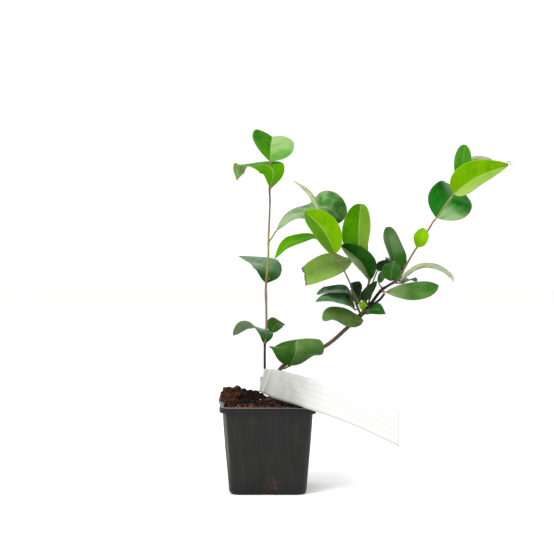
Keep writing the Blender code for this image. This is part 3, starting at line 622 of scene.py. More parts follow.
class Paint:
    """A material that is put together from nodes."""

    def __init__(self, name, **values):
        self.material = bpy.data.materials.new(name)
        self.material.use_nodes = True
        self.nodes = self.material.node_tree.nodes
        self.links = self.material.node_tree.links
        self.shader = self.nodes["Principled BSDF"]
        for socket, value in values.items():
            self.shader.inputs[socket.replace("_", " ")].default_value = value

    def node(self, kind, settings=None, sockets=None):
        """A node of any kind, with its settings and its sockets' values or links, as its first output."""
        made = self.nodes.new(kind)
        for name, value in (settings or {}).items():
            setattr(made, name, value)
        for name, value in (sockets or {}).items():
            self.feed(made.inputs[name], value)
        return Wire(self, next(output for output in made.outputs if output.enabled))

    def feed(self, socket, value):
        """Gives a socket a value or a link."""
        if isinstance(value, Wire):
            self.links.new(value.socket, socket)
        elif isinstance(value, (tuple, list)) and len(value) == 3 and len(socket.default_value) == 4:
            socket.default_value = (*value, 1.0)
        else:
            socket.default_value = value

    def set(self, **sockets):
        """Feeds the shader's own sockets."""
        for name, value in sockets.items():
            self.feed(self.shader.inputs[name.replace("_", " ")], value)
        return self.material

    def place(self, stretch=(1.0, 1.0, 1.0)):
        """The place on the object, in millimetres times a stretch."""
        spot = self.node("ShaderNodeTexCoord").out("Object")
        scale = tuple(part / MM for part in stretch)
        return self.node("ShaderNodeMapping", {}, {"Vector": spot, "Scale": scale})

    def sheet(self, name):
        """The two shares on a sheet's own UV map."""
        return self.axes(self.node("ShaderNodeUVMap", {"uv_map": name}))[:2]

    def grain(self, size, detail=2.0, roughness=0.5, stretch=(1.0, 1.0, 1.0)):
        """Noise with lumps of a size in millimetres."""
        where = self.place(tuple(part / size for part in stretch))
        sockets = {"Vector": where, "Scale": 1.0, "Detail": detail, "Roughness": roughness}
        return self.node("ShaderNodeTexNoise", {}, sockets)

    def cells(self, size, feature="F1"):
        """The distance in cells of a size in millimetres."""
        sockets = {"Vector": self.place(), "Scale": 1.0 / size}
        return self.node("ShaderNodeTexVoronoi", {"feature": feature}, sockets).out("Distance")

    def ramp(self, value, low, high):
        """A value's smooth rise from 0 at a low one to 1 at a high one."""
        sockets = {"Value": value, "From Min": low, "From Max": high}
        return self.node("ShaderNodeMapRange", {"interpolation_type": "SMOOTHSTEP"}, sockets)

    def mix(self, share, first, second):
        """A blend of two colours."""
        return self.node("ShaderNodeMix", {"data_type": "RGBA"}, {0: share, 6: first, 7: second})

    def bump(self, height, distance, strength):
        """Relief from a height between 0 and 1 that stands for a distance in millimetres."""
        sockets = {"Height": height, "Distance": distance * MM, "Strength": strength}
        return self.node("ShaderNodeBump", {}, sockets)

    def axes(self, vector):
        """A vector's three parts."""
        parts = self.node("ShaderNodeSeparateXYZ", {}, {0: vector})
        return parts.out("X"), parts.out("Y"), parts.out("Z")


def side_veins(paint, along, side, width):
    """How strongly a side vein shows, by the shares along the blade and out from its midrib."""
    phase = (along * 9.0 - side * 1.6 + paint.grain(7.0) * 0.35).fraction()
    return (1.0 - paint.ramp(abs(phase - 0.5), 0.0, width)) * paint.ramp(side, 0.98, 0.5)


def leaf_upper(name, tone):
    """The waxy upper side of a leaf, with its midrib, side veins and edge drawn on its own UV map."""
    wax = {"Coat_Weight": 0.07 * tone.wax, "Coat_Roughness": 0.18, "IOR": 1.02 + 0.13 * tone.wax}
    paint = Paint(f"leaf {name} upper", **wax)
    base, upper, patch, under, rim = [srgb(*colour) for colour in tone[:5]]
    along, across = paint.sheet("blade")
    side = abs(across * 2.0 - 1.0)
    midrib = 1.0 - paint.ramp(side, 0.015, 0.07)
    vein = side_veins(paint, along, side, 0.07)
    net = paint.ramp(paint.cells(1.3, "DISTANCE_TO_EDGE"), 0.0, 0.12)
    patches = paint.ramp(paint.grain(13.0, 3.0), 0.4, 0.64)
    colour = paint.mix(patches, upper, patch)
    colour = paint.mix(paint.ramp(along + paint.grain(9.0) * 0.3, 0.65, 0.3), colour, base)
    fine = paint.ramp(paint.grain(1.6, 3.0), 0.35, 0.7)
    colour = paint.mix(fine * 0.1, colour, tuple(part * 0.55 for part in upper))
    colour = paint.mix(vein * 0.16, colour, under)
    colour = paint.mix(midrib * 0.6, colour, under)
    colour = paint.mix(paint.ramp(side, 0.94, 1.0) * 0.5, colour, rim)
    dry = paint.ramp(along + (paint.grain(1.6) - 0.5) * 0.07, tone.dry, tone.dry + 0.02)
    colour = paint.mix(dry * 0.85, colour, srgb(88, 58, 34))
    relief = net * 0.2 - vein * 0.5 - midrib * 0.6 + paint.grain(0.8, 2.0) * 0.08
    rough = paint.grain(5.0) * 0.12 + (tone.roughness - 0.06)
    return paint.set(Base_Color=colour, Roughness=rough, Normal=paint.bump(relief, 0.05, 0.4))


def leaf_under(name, tone):
    """The paler, duller underside of a leaf."""
    paint = Paint(f"leaf {name} under", Specular_IOR_Level=0.08)
    under, rim = srgb(*tone.under), srgb(*tone.edge)
    along, across = paint.sheet("blade")
    side = abs(across * 2.0 - 1.0)
    vein = side_veins(paint, along, side, 0.08)
    shaded = tuple(part * 0.8 for part in under)
    colour = paint.mix(paint.ramp(paint.grain(12.0, 3.0), 0.4, 0.65), under, shaded)
    colour = paint.mix(vein * 0.2, colour, srgb(190, 206, 150))
    colour = paint.mix(paint.ramp(side, 0.92, 1.0) * 0.4, colour, rim)
    relief = vein * 0.6 + paint.grain(0.7, 2.0) * 0.2
    return paint.set(Base_Color=colour, Roughness=0.55, Normal=paint.bump(relief, 0.06, 0.4))


def shoot_skin():
    """Skin that goes from olive green on young shoots through brown to near black, by the mesh's own age."""
    paint = Paint("shoot skin", Specular_IOR_Level=0.15)
    age = paint.node("ShaderNodeAttribute", {"attribute_name": "age"}).out("Fac")
    mottle = paint.grain(1.4, 3.0, 0.6, (1.0, 1.0, 0.3))
    age = age + (mottle - 0.5) * 0.25
    colour = paint.mix(paint.ramp(age, 0.05, 0.35), srgb(142, 148, 78), srgb(136, 104, 62))
    colour = paint.mix(paint.ramp(age, 0.4, 0.6), colour, srgb(128, 114, 96))
    colour = paint.mix(paint.ramp(age, 0.66, 0.82), colour, srgb(96, 72, 64))
    colour = paint.mix(paint.ramp(age, 0.84, 1.0), colour, srgb(26, 20, 16))
    specks = paint.ramp(paint.cells(0.9), 0.28, 0.1)
    colour = paint.mix(specks * 0.25, colour, srgb(170, 154, 130))
    streaks = paint.ramp(paint.grain(0.5, 2.0, 0.5, (1.0, 1.0, 0.12)), 0.35, 0.65)
    colour = paint.mix(streaks * 0.25, colour, srgb(54, 42, 36))
    return paint.set(
        Base_Color=colour,
        Roughness=0.5 + mottle * 0.25,
        Normal=paint.bump(streaks * 0.6 + specks * 0.4, 0.12, 0.6),
    )


def pot_plastic():
    """Thin charcoal plastic, scuffed and dusty in its ribs, soil splashed on its foot, painted shade on the
    rim's lip, a painted highlight on the rim's top and a painted glint down the left front corner.
    """
    paint = Paint("pot plastic", Specular_IOR_Level=0.25)
    x, y, z = paint.axes(paint.place())
    cloud = paint.ramp(paint.grain(22.0, 4.0, 0.6), 0.35, 0.7)
    colour = paint.mix(cloud, srgb(9, 10, 9), srgb(21, 22, 20))
    smudge = paint.ramp(paint.grain(9.0, 3.0, 0.5, (1.0, 1.0, 0.6)), 0.56, 0.7)
    colour = paint.mix(smudge * 0.5, colour, srgb(5, 6, 5))
    drag = paint.ramp(paint.grain(2.4, 3.0, 0.6, (1.0, 1.0, 0.06)), 0.5, 0.72)
    colour = paint.mix(drag * 0.2, colour, srgb(62, 63, 60))
    # Painted shade: the rim's lip, from its foot up, is painted near black.
    colour = paint.mix(paint.ramp(z, 77.4, 77.8) * 0.85, colour, srgb(4, 7, 5))
    # Painted highlight: the top of the rim is painted pale grey.
    colour = paint.mix(paint.ramp(z, 82.2, 82.6) * 0.5, colour, srgb(120, 126, 118))
    smear = (1.0 - ((x - 5.0) / 13.0) ** 2.0 - ((z - 9.0) / 12.0) ** 2.0).at_least(0.0)
    front = paint.ramp(y, -30.0, -34.0)
    # Painted glint: a pale strip down the rounded left front corner, where the lamp's reflection falls.
    painted_glint = (1.0 - abs(x + z * 0.08 + 34.1) / 1.7).at_least(0.0) * front * paint.ramp(z, 12.0, 42.0)
    colour = paint.mix(painted_glint * paint.ramp(z, 77.2, 76.8) * 0.8, colour, srgb(104, 106, 99))
    colour = paint.mix(paint.ramp(z, 15.0, 4.0) * 0.6, colour, srgb(4, 5, 4))
    crumbs = paint.ramp(paint.grain(2.2, 4.0, 0.7, (1.0, 1.0, 0.5)), 0.44, 0.62)
    colour = paint.mix(smear * crumbs * front * 0.4, colour, srgb(84, 46, 32))
    streak = (1.0 - abs(x - 6.5) / 2.6).at_least(0.0) * (1.0 - abs(z - 10.5) / 6.0).at_least(0.0)
    colour = paint.mix((streak * 1.6).at_most(1.0) * front * crumbs, colour, srgb(98, 54, 38))
    dust = paint.ramp(paint.grain(0.7, 3.0), 0.62, 0.8) * paint.ramp(paint.grain(14.0), 0.4, 0.62)
    colour = paint.mix(dust * 0.3, colour, srgb(96, 90, 80))
    rough = 0.34 + cloud * 0.12 + dust * 0.3 + drag * 0.1
    relief = paint.grain(0.5, 2.0) * 0.3 + drag * 0.5
    return paint.set(Base_Color=colour, Roughness=rough, Normal=paint.bump(relief, 0.06, 0.5))


def potting_mix():
    """Moist peat and bark: nearly black in the middle, red brown in the heap at the left."""
    paint = Paint("potting mix", Specular_IOR_Level=0.1)
    x, y, z = paint.axes(paint.place())
    left = paint.ramp(x + paint.grain(9.0) * 10.0, -18.0, -27.0)
    front = paint.ramp(y + paint.grain(6.0) * 16.0, 0.0, -14.0)
    dark = paint.mix(paint.ramp(paint.grain(3.0, 4.0, 0.7), 0.35, 0.7), srgb(12, 9, 8), srgb(36, 26, 21))
    red = paint.mix(paint.ramp(paint.grain(2.2, 4.0, 0.7), 0.35, 0.68), srgb(36, 22, 15), srgb(92, 56, 38))
    colour = paint.mix(left.at_least(front * 0.8), dark, red)
    fleck = paint.ramp(paint.cells(1.1), 0.3, 0.12)
    colour = paint.mix(fleck * 0.3, colour, srgb(120, 80, 50))
    relief = paint.grain(1.1, 5.0, 0.75) + fleck * 0.3
    return paint.set(Base_Color=colour, Roughness=0.9, Normal=paint.bump(relief, 0.9, 0.8))


def crumb_mix(name, dark, light):
    """A crumb, chip or bit of perlite in the potting mix."""
    paint = Paint(name, Specular_IOR_Level=0.1)
    share = paint.ramp(paint.grain(1.1, 3.0, 0.7), 0.3, 0.7)
    return paint.set(
        Base_Color=paint.mix(share, dark, light),
        Roughness=0.7 + paint.grain(0.9) * 0.3,
        Normal=paint.bump(paint.grain(0.5, 4.0, 0.7), 0.3, 0.7),
    )


def label_plastic():
    """White plastic with faint ruled lines to write on, a little soil on it where it leaves the stems,
    painted shade on its head and a painted highlight along its fold.
    """
    paint = Paint("label plastic", Specular_IOR_Level=0.15)
    along, up = paint.sheet("strip")
    # Painted shade: the head near the stems is painted greyer than the far end of the strip.
    shaded_head = paint.mix(paint.ramp(paint.grain(12.0, 3.0), 0.35, 0.7), srgb(190, 191, 184), srgb(178, 179, 170))
    # Painted highlight: a pale band along the fold near the head.
    fold = 1.0 - paint.ramp(abs(along - up * 0.07 - 0.05), 0.0, 0.035)
    shaded_head = paint.mix(fold * 0.8, shaded_head, srgb(226, 226, 216))
    colour = paint.mix(paint.ramp(along, 0.38, 0.66), shaded_head, srgb(222, 222, 220))
    row = ((up - 0.14) * 5.2).fraction()
    line = 1.0 - paint.ramp(abs(row - 0.5), 0.0, 0.055)
    line = line * paint.ramp(up, 0.1, 0.14) * paint.ramp(up, 0.86, 0.8)
    line = line * paint.ramp(along, 0.3, 0.31) * paint.ramp(along, 0.97, 0.96)
    colour = paint.mix(line * 0.4, colour, srgb(120, 124, 122))
    scuff = paint.ramp(paint.grain(1.2, 3.0, 0.7), 0.6, 0.78) * paint.ramp(along, 0.5, 0.1)
    colour = paint.mix(scuff * 0.25, colour, srgb(150, 120, 96))
    return paint.set(
        Base_Color=colour,
        Roughness=0.38 + scuff * 0.3,
        Normal=paint.bump(paint.grain(9.0, 2.0), 0.3, 0.3),
    )


def floor_paint():
    """A pale matt floor."""
    paint = Paint("pale floor", Specular_IOR_Level=0.1)
    colour = paint.mix(paint.grain(160.0, 3.0), (0.86, 0.86, 0.855), (0.89, 0.89, 0.885))
    return paint.set(Base_Color=colour, Roughness=0.9)


def smooth_path(knots, steps):
    """Points of a smooth curve through the knots, with so many steps from one knot to the next."""
    knots = [Vector(knot) for knot in knots]
    ends = [2 * knots[0] - knots[1], *knots, 2 * knots[-1] - knots[-2]]
    path = []
    for before, here, after, beyond in zip(ends, ends[1:], ends[2:], ends[3:]):
        for step in range(steps):
            t = step / steps
            bend = 2 * before - 5 * here + 4 * after - beyond
            turn = 3 * here - before - 3 * after + beyond
            path.append((2 * here + (after - before) * t + bend * t**2 + turn * t**3) / 2)
    return [*path, knots[-1]]


def at_share(values, share):
    """The value that lies at a share of the way along a list of evenly spaced ones."""
    place = share * (len(values) - 1)
    first = min(int(place), len(values) - 2)
    rest = place - first
    return values[first] * (1 - rest) + values[first + 1] * rest


def way_at(path, share, look):
    """The way that a path goes at a share of its length, from a little before there to a little after."""
    near, far = max(share - look, 0.0), min(share + look, 1.0)
    return (at_share(path, far) - at_share(path, near)).normalized()


def make_object(name, shape, materials, collection):
    """Puts a bmesh in a collection as an object."""
    mesh = bpy.data.meshes.new(name)
    shape.to_mesh(mesh)
    shape.free()
    for material in materials:
        mesh.materials.append(material)
    made = bpy.data.objects.new(name, mesh)
    collection.objects.link(made)
    return made


def finish_piece(name, shape, materials, node):
    """Puts a bmesh in the scene as a piece of the plant in place of the node that it stands for."""
    piece = make_object(name, shape, materials, bpy.context.scene.collection)
    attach(piece, "root")
    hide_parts(node)
    return piece


def settle(piece):
    """Turns a piece's modifiers into plain mesh."""
    graph = bpy.context.evaluated_depsgraph_get()
    mesh = bpy.data.meshes.new_from_object(piece.evaluated_get(graph))
    piece.modifiers.clear()
    piece.data = mesh


def thicken(piece, thickness):
    """Gives a sheet its thickness in millimetres, the far side in the second half of its materials."""
    wall = piece.modifiers.new("thickness", "SOLIDIFY")
    wall.thickness = thickness * MM
    wall.offset = 0.0
    wall.material_offset = len(piece.data.materials) // 2
    settle(piece)


def add_tube(shape, path, radii, rounding, ages, relief):
    """Adds a closed tapering tube along a path in millimetres, with its age on its vertices."""
    curve = bpy.data.curves.new("tube", "CURVE")
    curve.dimensions = "3D"
    curve.bevel_depth = MM
    curve.bevel_resolution = rounding
    curve.use_fill_caps = True
    spline = curve.splines.new("POLY")
    spline.points.add(len(path) - 1)
    for number, (point, place) in enumerate(zip(spline.points, path)):
        point.co = (*(place * MM), 1.0)
        point.radius = at_share(radii, number / (len(path) - 1))
    guide = bpy.data.objects.new("tube", curve)
    bpy.context.scene.collection.objects.link(guide)
    graph = bpy.context.evaluated_depsgraph_get()
    mesh = bpy.data.meshes.new_from_object(guide.evaluated_get(graph))
    bpy.data.objects.remove(guide)
    part = bmesh.new()
    part.from_mesh(mesh)
    bmesh.ops.remove_doubles(part, verts=part.verts, dist=1e-6)
    bmesh.ops.recalc_face_normals(part, faces=part.faces)
    part.normal_update()
    age_layer = part.verts.layers.float.new("age")
    for vertex in part.verts:
        spot = vertex.co / MM
        near = min(range(len(path)), key=lambda number: (path[number] - spot).length_squared)
        vertex[age_layer] = at_share(ages, near / (len(path) - 1))
        ridge = noise.noise(Vector((spot.x * RIDGES_ACROSS, spot.y * RIDGES_ACROSS, spot.z * RIDGES_ALONG)))
        lump = noise.noise(spot * LUMPS + Vector(LUMPS_PLACE))
        vertex.co += vertex.normal * (ridge * 0.5 + lump * 0.5) * relief * MM
    for face in part.faces:
        face.smooth = len(face.verts) == 4
    mesh = bpy.data.meshes.new("tube")
    part.to_mesh(mesh)
    part.free()
    shape.from_mesh(mesh)
    bpy.data.meshes.remove(mesh)


def outline_share(leaf, u):
    """The blade's half width at a share of its length, as a share of its widest."""
    stretch = math.log(0.5) / math.log(leaf.widest)
    return max(math.sin(math.pi * u**stretch), 0.0) ** leaf.power


@lru_cache(maxsize=None)
def blade_frame(leaf, u):
    """The midrib's place at a share of the leaf's length, and the ways to its right and its upper side."""
    spine = smooth_path(leaf.spine, MIDRIB_STEPS)
    place = at_share(spine, u)
    along = way_at(spine, u, MIDRIB_LOOK)
    right = Vector(leaf.right).lerp(Vector(leaf.end_right), u)
    right = (right - right.project(along)).normalized()
    return place, right, right.cross(along)


@lru_cache(maxsize=None)
def blade_length(leaf):
    """How long the blade's midrib is, in millimetres."""
    spine = smooth_path(leaf.spine, MIDRIB_STEPS)
    return sum((after - here).length for here, after in zip(spine, spine[1:]))


def relief_point(leaf, u, v):
    """The place on the blade at shares of its length and half width, with veins, waves and toothed edge."""
    place, right, up = blade_frame(leaf, u)
    half = max(leaf.width / 2 * outline_share(leaf, u), BLADE_END_HALF)
    length = blade_length(leaf)
    side = abs(v)
    if side > TOOTH_START:
        half -= TOOTH_DEPTH * ((u * length / TOOTH_PITCH) % 1.0)
    fold = math.radians(leaf.fold)
    rise = (math.sqrt(v * v + CREASE) - CREASE_FOOT) / (CREASE_EDGE - CREASE_FOOT)
    veins = length / VEIN_SPACING * u - side * VEIN_SLANT * leaf.width / 2 / VEIN_SPACING
    lift = QUILT * math.cos(2 * math.pi * veins) * (1 - side**4) * min(side * 5, 1)
    lift -= MIDRIB_GROOVE * math.exp(-((v * half / GROOVE_HALF) ** 2))
    start = leaf.spine[0][0] * 1.7 + leaf.spine[1][2] * 0.9
    sway = math.sin(2 * math.pi * (WAVES * u) + start + (WAVE_LAG if v > 0 else 0.0))
    lift += EDGE_WAVE * side**2 * sway * min(half / SMALL_HALF, 1)
    torn = 0.0
    if leaf.left_over < 1:
        ragged = noise.noise(Vector((v * TEAR_FINENESS, 0.3, 1.7)))
        torn = max(u / leaf.left_over - TEAR_START, 0) * TEAR_DEPTH * ragged
    offset = right * v * half * math.cos(fold) + up * (rise * half * math.sin(fold) + lift)
    return place + offset + right.cross(up) * torn


def add_sheet(shape, layer, columns, rows, spot_at):
    """Adds a fine sheet. A function gives each vertex's mark on the UV map and its place in millimetres."""
    uv_layer = shape.loops.layers.uv[layer]
    made = bmesh.ops.create_grid(shape, x_segments=columns, y_segments=rows, size=1.0)
    marks = {}
    for vertex in made["verts"]:
        marks[vertex], spot = spot_at((vertex.co.x + 1) / 2, (vertex.co.y + 1) / 2)
        vertex.co = spot * MM
    faces = {face for vertex in made["verts"] for face in vertex.link_faces}
    for face in faces:
        face.smooth = True
        for loop in face.loops:
            loop[uv_layer].uv = marks[loop.vert]
    return faces, marks


def add_blade(shape, leaf, used):
    """Adds a leaf's blade, with a tone for each half."""

    def spot_at(across, along):
        share = round(along - END_ROWS_CLOSER * math.sin(2 * math.pi * along), 5)
        return (share, across), relief_point(leaf, share * leaf.left_over, across * 2 - 1)

    left, right = (leaf.tone.split() * 2)[:2]
    faces, marks = add_sheet(shape, "blade", BLADE_COLUMNS, BLADE_ROWS, spot_at)
    for face in faces:
        middle = sum(marks[vertex][1] for vertex in face.verts) / len(face.verts)
        face.material_index = used.index(left if middle < 0.5 else right)


def add_stalk(shape, leaf, path, ages):
    """Adds a leaf's stalk, which runs on as the midrib under the blade."""
    foot = at_share(path, leaf.foot)
    base = Vector(leaf.spine[0])
    knots = [foot, foot.lerp(base, 0.5), base]
    depth, rise = STALK_DEPTHS
    for share in STALK_IN_BLADE:
        place, right, up = blade_frame(leaf, round(share * leaf.left_over, 5))
        knots.append(place - up * (MIDRIB_GROOVE + depth - rise * share))
    age = at_share(ages, leaf.foot) * YOUNGER
    ages = (age, age * 0.5, 0.05, 0.0)
    add_tube(shape, smooth_path(knots, STALK_STEPS), STALK_RADII, STALK_ROUNDING, ages, STALK_RELIEF)


def add_bud(shape, leaf, path, spray):
    """Adds the pointed bud at a leaf's joint, which leans on along the shoot."""
    joint = at_share(path, leaf.foot)
    out = (Vector(leaf.spine[0]) - joint).normalized()
    way = (out + way_at(path, leaf.foot, JOINT_LOOK) * BUD_LEAN).normalized()
    foot = joint + out * at_share(spray.radii, leaf.foot) * BUD_SEAT
    age = at_share(spray.ages, leaf.foot) * YOUNGER
    places = []
    radii = []
    for step in range(BUD_STEPS + 1):
        share = step / BUD_STEPS
        places.append(foot + way * BUD_LENGTH * step / BUD_STEPS)
        radii.append(BUD_RADIUS * (0.45 + 0.55 * math.sin(math.pi * min(share + 0.12, 1.0))))
    add_tube(shape, places, [*radii[:-1], POINT_RADIUS], SHOOT_ROUNDING, (age, age), BUD_RELIEF)


def shoot_radii(spray):
    """The shoot's radii from foot to tip, a little thicker at each leaf's joint."""
    radii = []
    for step in range(JOINT_STEPS + 1):
        share = step / JOINT_STEPS
        radius = spray.radii[0] + (spray.radii[1] - spray.radii[0]) * share
        for leaf in spray.leaves:
            radius *= 1 + JOINT_SWELL * math.exp(-(((share - leaf.foot) / JOINT_REACH) ** 2))
        radii.append(radius)
    return radii


def rooted(path):
    """A path whose first point is moved back into what it grows from."""
    return [path[0] - (path[1] - path[0]).normalized() * SEAM, *path[1:]]


def dress_blades(name, spray, tones):
    """Makes a spray's blades, with their undersides in the second half of their materials."""
    blades = bmesh.new()
    blades.loops.layers.uv.new("blade")
    used = sorted({tone for leaf in spray.leaves for tone in leaf.tone.split()})
    for leaf in spray.leaves:
        add_blade(blades, leaf, used)
    materials = [tones[tone][side] for side in range(2) for tone in used]
    thicken(finish_piece(name + "_blades", blades, materials, name), BLADE_THICKNESS)


def dress_shoot(name, spray, skin):
    """Makes a spray's shoot with its stalks, buds and threads."""
    shoot = bmesh.new()
    path = smooth_path(spray.knots, SHOOT_STEPS)
    add_tube(shoot, rooted(path), shoot_radii(spray), SHOOT_ROUNDING, spray.ages, SHOOT_RELIEF)
    for leaf in spray.leaves:
        add_stalk(shoot, leaf, path, spray.ages)
        add_bud(shoot, leaf, path, spray)
    for thread in spray.threads:
        path = smooth_path(thread.knots, THREAD_STEPS)
        add_tube(shoot, path, thread.radii, SHOOT_ROUNDING, thread.ages, STALK_RELIEF)
    finish_piece(name + "_shoot", shoot, [skin], name)


def dress_limb(name, limb, skin):
    """Makes a bare limb with its bark's relief."""
    shape = bmesh.new()
    path = rooted(smooth_path(limb.knots, LIMB_STEPS))
    add_tube(shape, path, limb.radii, LIMB_ROUNDING, limb.ages, limb.relief)
    finish_piece(name + "_bark", shape, [skin], name)


def splayed(spot):
    """The spot moved where the soft pot's back left corner bulges and its front right corner hangs."""
    rise = (max(spot.z, 0.0) / POT_HEIGHT) ** 2
    left = max(-spot.x / WALL_TOP, 0.0) ** 2
    back = max(spot.y / WALL_TOP, 0.0)
    right = max(spot.x / WALL_TOP, 0.0) ** 4
    front = max(-spot.y / WALL_TOP, 0.0)
    bulge = BACK_LEFT_SPLAY * rise * left * back
    return spot - Vector((bulge, 0.0, FRONT_RIGHT_DROP * rise**4 * right * front))


def rounded_ring(shape, half, height, radius, corner_steps, side_steps, ribs=0.0):
    """A ring of vertices round a square with rounded corners, at a height in millimetres."""
    ring = []
    inner = half - radius
    for corner in range(4):
        turn = Matrix.Rotation(corner * math.pi / 2, 3, "Z")
        for step in range(corner_steps + 1):
            angle = step * math.pi / 2 / corner_steps
            spot = Vector((inner + radius * math.cos(angle), inner + radius * math.sin(angle), height))
            ring.append(turn @ spot)
        for step in range(1, side_steps + 1):
            along = inner * (1 - 2 * step / (side_steps + 1))
            rib = ribs * (0.5 - 0.5 * math.cos(2 * math.pi * along / RIB_PITCH))
            ring.append(turn @ Vector((along, half - rib, height)))
    return [shape.verts.new(splayed(spot) * MM) for spot in ring]


def join_rings(shape, rings):
    """Faces between each ring and the next, and a face over the first and the last one."""
    for lower, upper in zip(rings, rings[1:]):
        for here in range(len(lower)):
            after = (here + 1) % len(lower)
            shape.faces.new((lower[here], lower[after], upper[after], upper[here]))
    shape.faces.new(rings[0][::-1])
    shape.faces.new(rings[-1])


def wall_half(height):
    """The outer half width of the pot's wall at a height."""
    wall = [*FOOT_LEVELS, *WALL_LEVELS, (WALL_TOP, POT_HEIGHT)]
    for (half, low), (wider, high) in zip(wall, wall[1:]):
        if height <= high:
            return half + (wider - half) * (height - low) / (high - low)
    return WALL_TOP


def cut_round(cutters, matrix, radius, depth, sides):
    """A round cutter in a collection."""
    shape = bmesh.new()
    size = {"radius1": radius * MM, "radius2": radius * MM, "depth": depth * MM}
    bmesh.ops.create_cone(shape, cap_ends=True, segments=sides, matrix=matrix, **size)
    make_object("cutter", shape, [], cutters)


def wall_profile():
    """The rings of the outer wall from the foot up: half width, height, corner radius and depth of ribs."""
    profile = [(half, height, CORNER_RADIUS, 0.0) for half, height in FOOT_LEVELS]
    levels = [FOOT_LEVELS[-1], *WALL_LEVELS, (WALL_TOP, POT_HEIGHT - RIM_LIP)]
    for (half, low), (wider, high) in zip(levels, levels[1:]):
        for step in range(1, WALL_STEPS + 1):
            share = step / WALL_STEPS
            height = low + (high - low) * share
            fade = min((height - RIB_START) / RIB_FADE, 1.0)
            profile.append((half + (wider - half) * share, height, CORNER_RADIUS, RIB_DEPTH * fade))
    return profile


def rim_profile():
    """The rings of the rim, from the wall out under it, round its lip and over its top to the inside."""
    inside = WALL_TOP - WALL_THICKNESS
    lip_foot = POT_HEIGHT - RIM_LIP
    under_rim = POT_HEIGHT - RIM_THICKNESS
    lip_inside = RIM_HALF - RIM_THICKNESS
    inner, low_inner, low_outer, outer = LIP_CORNERS
    profile = [
        (WALL_TOP, under_rim - WALL_EASE, CORNER_RADIUS, RIB_DEPTH),
        (WALL_TOP + WALL_EASE, under_rim, CORNER_RADIUS, 0.0),
        (lip_inside - WALL_EASE, under_rim, inner, 0.0),
        (lip_inside, under_rim - WALL_EASE, inner, 0.0),
        (lip_inside, lip_foot + LIP_EASE, inner, 0.0),
        (lip_inside + LIP_EASE, lip_foot, low_inner, 0.0),
        (RIM_HALF - LIP_EASE, lip_foot, low_outer, 0.0),
        (RIM_HALF, lip_foot + LIP_EASE, outer, 0.0),
    ]
    rounded = [math.radians(step * 90 / ROUND_STEPS) for step in range(ROUND_STEPS + 1)]
    for step, angle in enumerate(rounded):
        half = RIM_HALF - RIM_ROUNDING + RIM_ROUNDING * math.cos(angle)
        height = POT_HEIGHT - RIM_ROUNDING + RIM_ROUNDING * math.sin(angle)
        profile.append((half, height, RIM_CORNER + (outer - RIM_CORNER) * (1 - step / ROUND_STEPS), 0.0))
    for angle in rounded[::-1]:
        half = inside + RIM_ROUNDING - RIM_ROUNDING * math.cos(angle)
        profile.append((half, POT_HEIGHT - RIM_ROUNDING + RIM_ROUNDING * math.sin(angle), INNER_CORNER, 0.0))
    return profile


def cut_openings(pot):
    """Cuts the notches under the pot's sides and the drain holes in its floor."""
    cutters = bpy.data.collections.new("pot cutters")
    bpy.context.scene.collection.children.link(cutters)
    near, far = NOTCH_REACH
    notch = Vector((0.0, (near + far) / 2, NOTCH_HEIGHT - NOTCH_RADIUS)) * MM
    lying = Matrix.Translation(notch) @ Matrix.Rotation(math.pi / 2, 4, "X")
    hole = Matrix.Translation(Vector((DRAIN_PLACE, DRAIN_PLACE, FLOOR_TOP / 2)) * MM)
    for side in range(4):
        turn = Matrix.Rotation(side * math.pi / 2, 4, "Z")
        cut_round(cutters, turn @ lying, NOTCH_RADIUS, far - near, NOTCH_SIDES)
        cut_round(cutters, turn @ hole, DRAIN_RADIUS, FLOOR_TOP * 3, DRAIN_SIDES)
    cut = pot.modifiers.new("holes", "BOOLEAN")
    cut.operation = "DIFFERENCE"
    cut.operand_type = "COLLECTION"
    cut.collection = cutters
    cut.solver = "EXACT"
    settle(pot)
    for cutter in list(cutters.objects):
        bpy.data.objects.remove(cutter)
    bpy.data.collections.remove(cutters)


def dress_pot():
    """Makes the pot with fine ribs down its walls, four notches under its sides and four drain holes."""
    profile = [*wall_profile(), *rim_profile()]
    for height in (*[height for half, height in WALL_LEVELS[::-1]], FLOOR_TOP):
        profile.append((wall_half(height) - WALL_THICKNESS, height, INNER_CORNER, 0.0))
    shape = bmesh.new()
    rings = [
        rounded_ring(shape, half, height, radius, CORNER_STEPS, SIDE_STEPS, ribs)
        for half, height, radius, ribs in profile
    ]
    join_rings(shape, rings)
    bmesh.ops.recalc_face_normals(shape, faces=shape.faces)
    pot = finish_piece("pot_shell", shape, [pot_plastic()], "pot")
    cut_openings(pot)
    pot.data.shade_smooth()
    pot.data.set_sharp_from_angle(angle=math.radians(SHARP_ANGLE))


def from_trunk(x, y):
    """How far a place is from the trunk's middle."""
    return math.hypot(x - TRUNK_FOOT[0], y - TRUNK_FOOT[1])


def soil_height(x, y):
    """How high the heaped soil stands at a place, in millimetres."""
    height = SOIL_EDGE - SOIL_LOW_SIDE * max(x, 0.0) / WALL_TOP
    for centre_x, centre_y, spread, rise in SOIL_MOUNDS:
        away = math.hypot(x - centre_x, y - centre_y) / spread
        height += rise * math.exp(-(away**2))
    rough = 0.0
    for size, rise in SOIL_GRAINS:
        rough += rise * noise.noise(Vector((x, y, size)) / size)
    flat = max(0.0, min(1.0, 2.0 - from_trunk(x, y) / FLAT_REACH))
    height = height * (1 - flat) + (GROUND - SOIL_GAP) * flat
    return height + rough * (1 - 0.8 * flat)


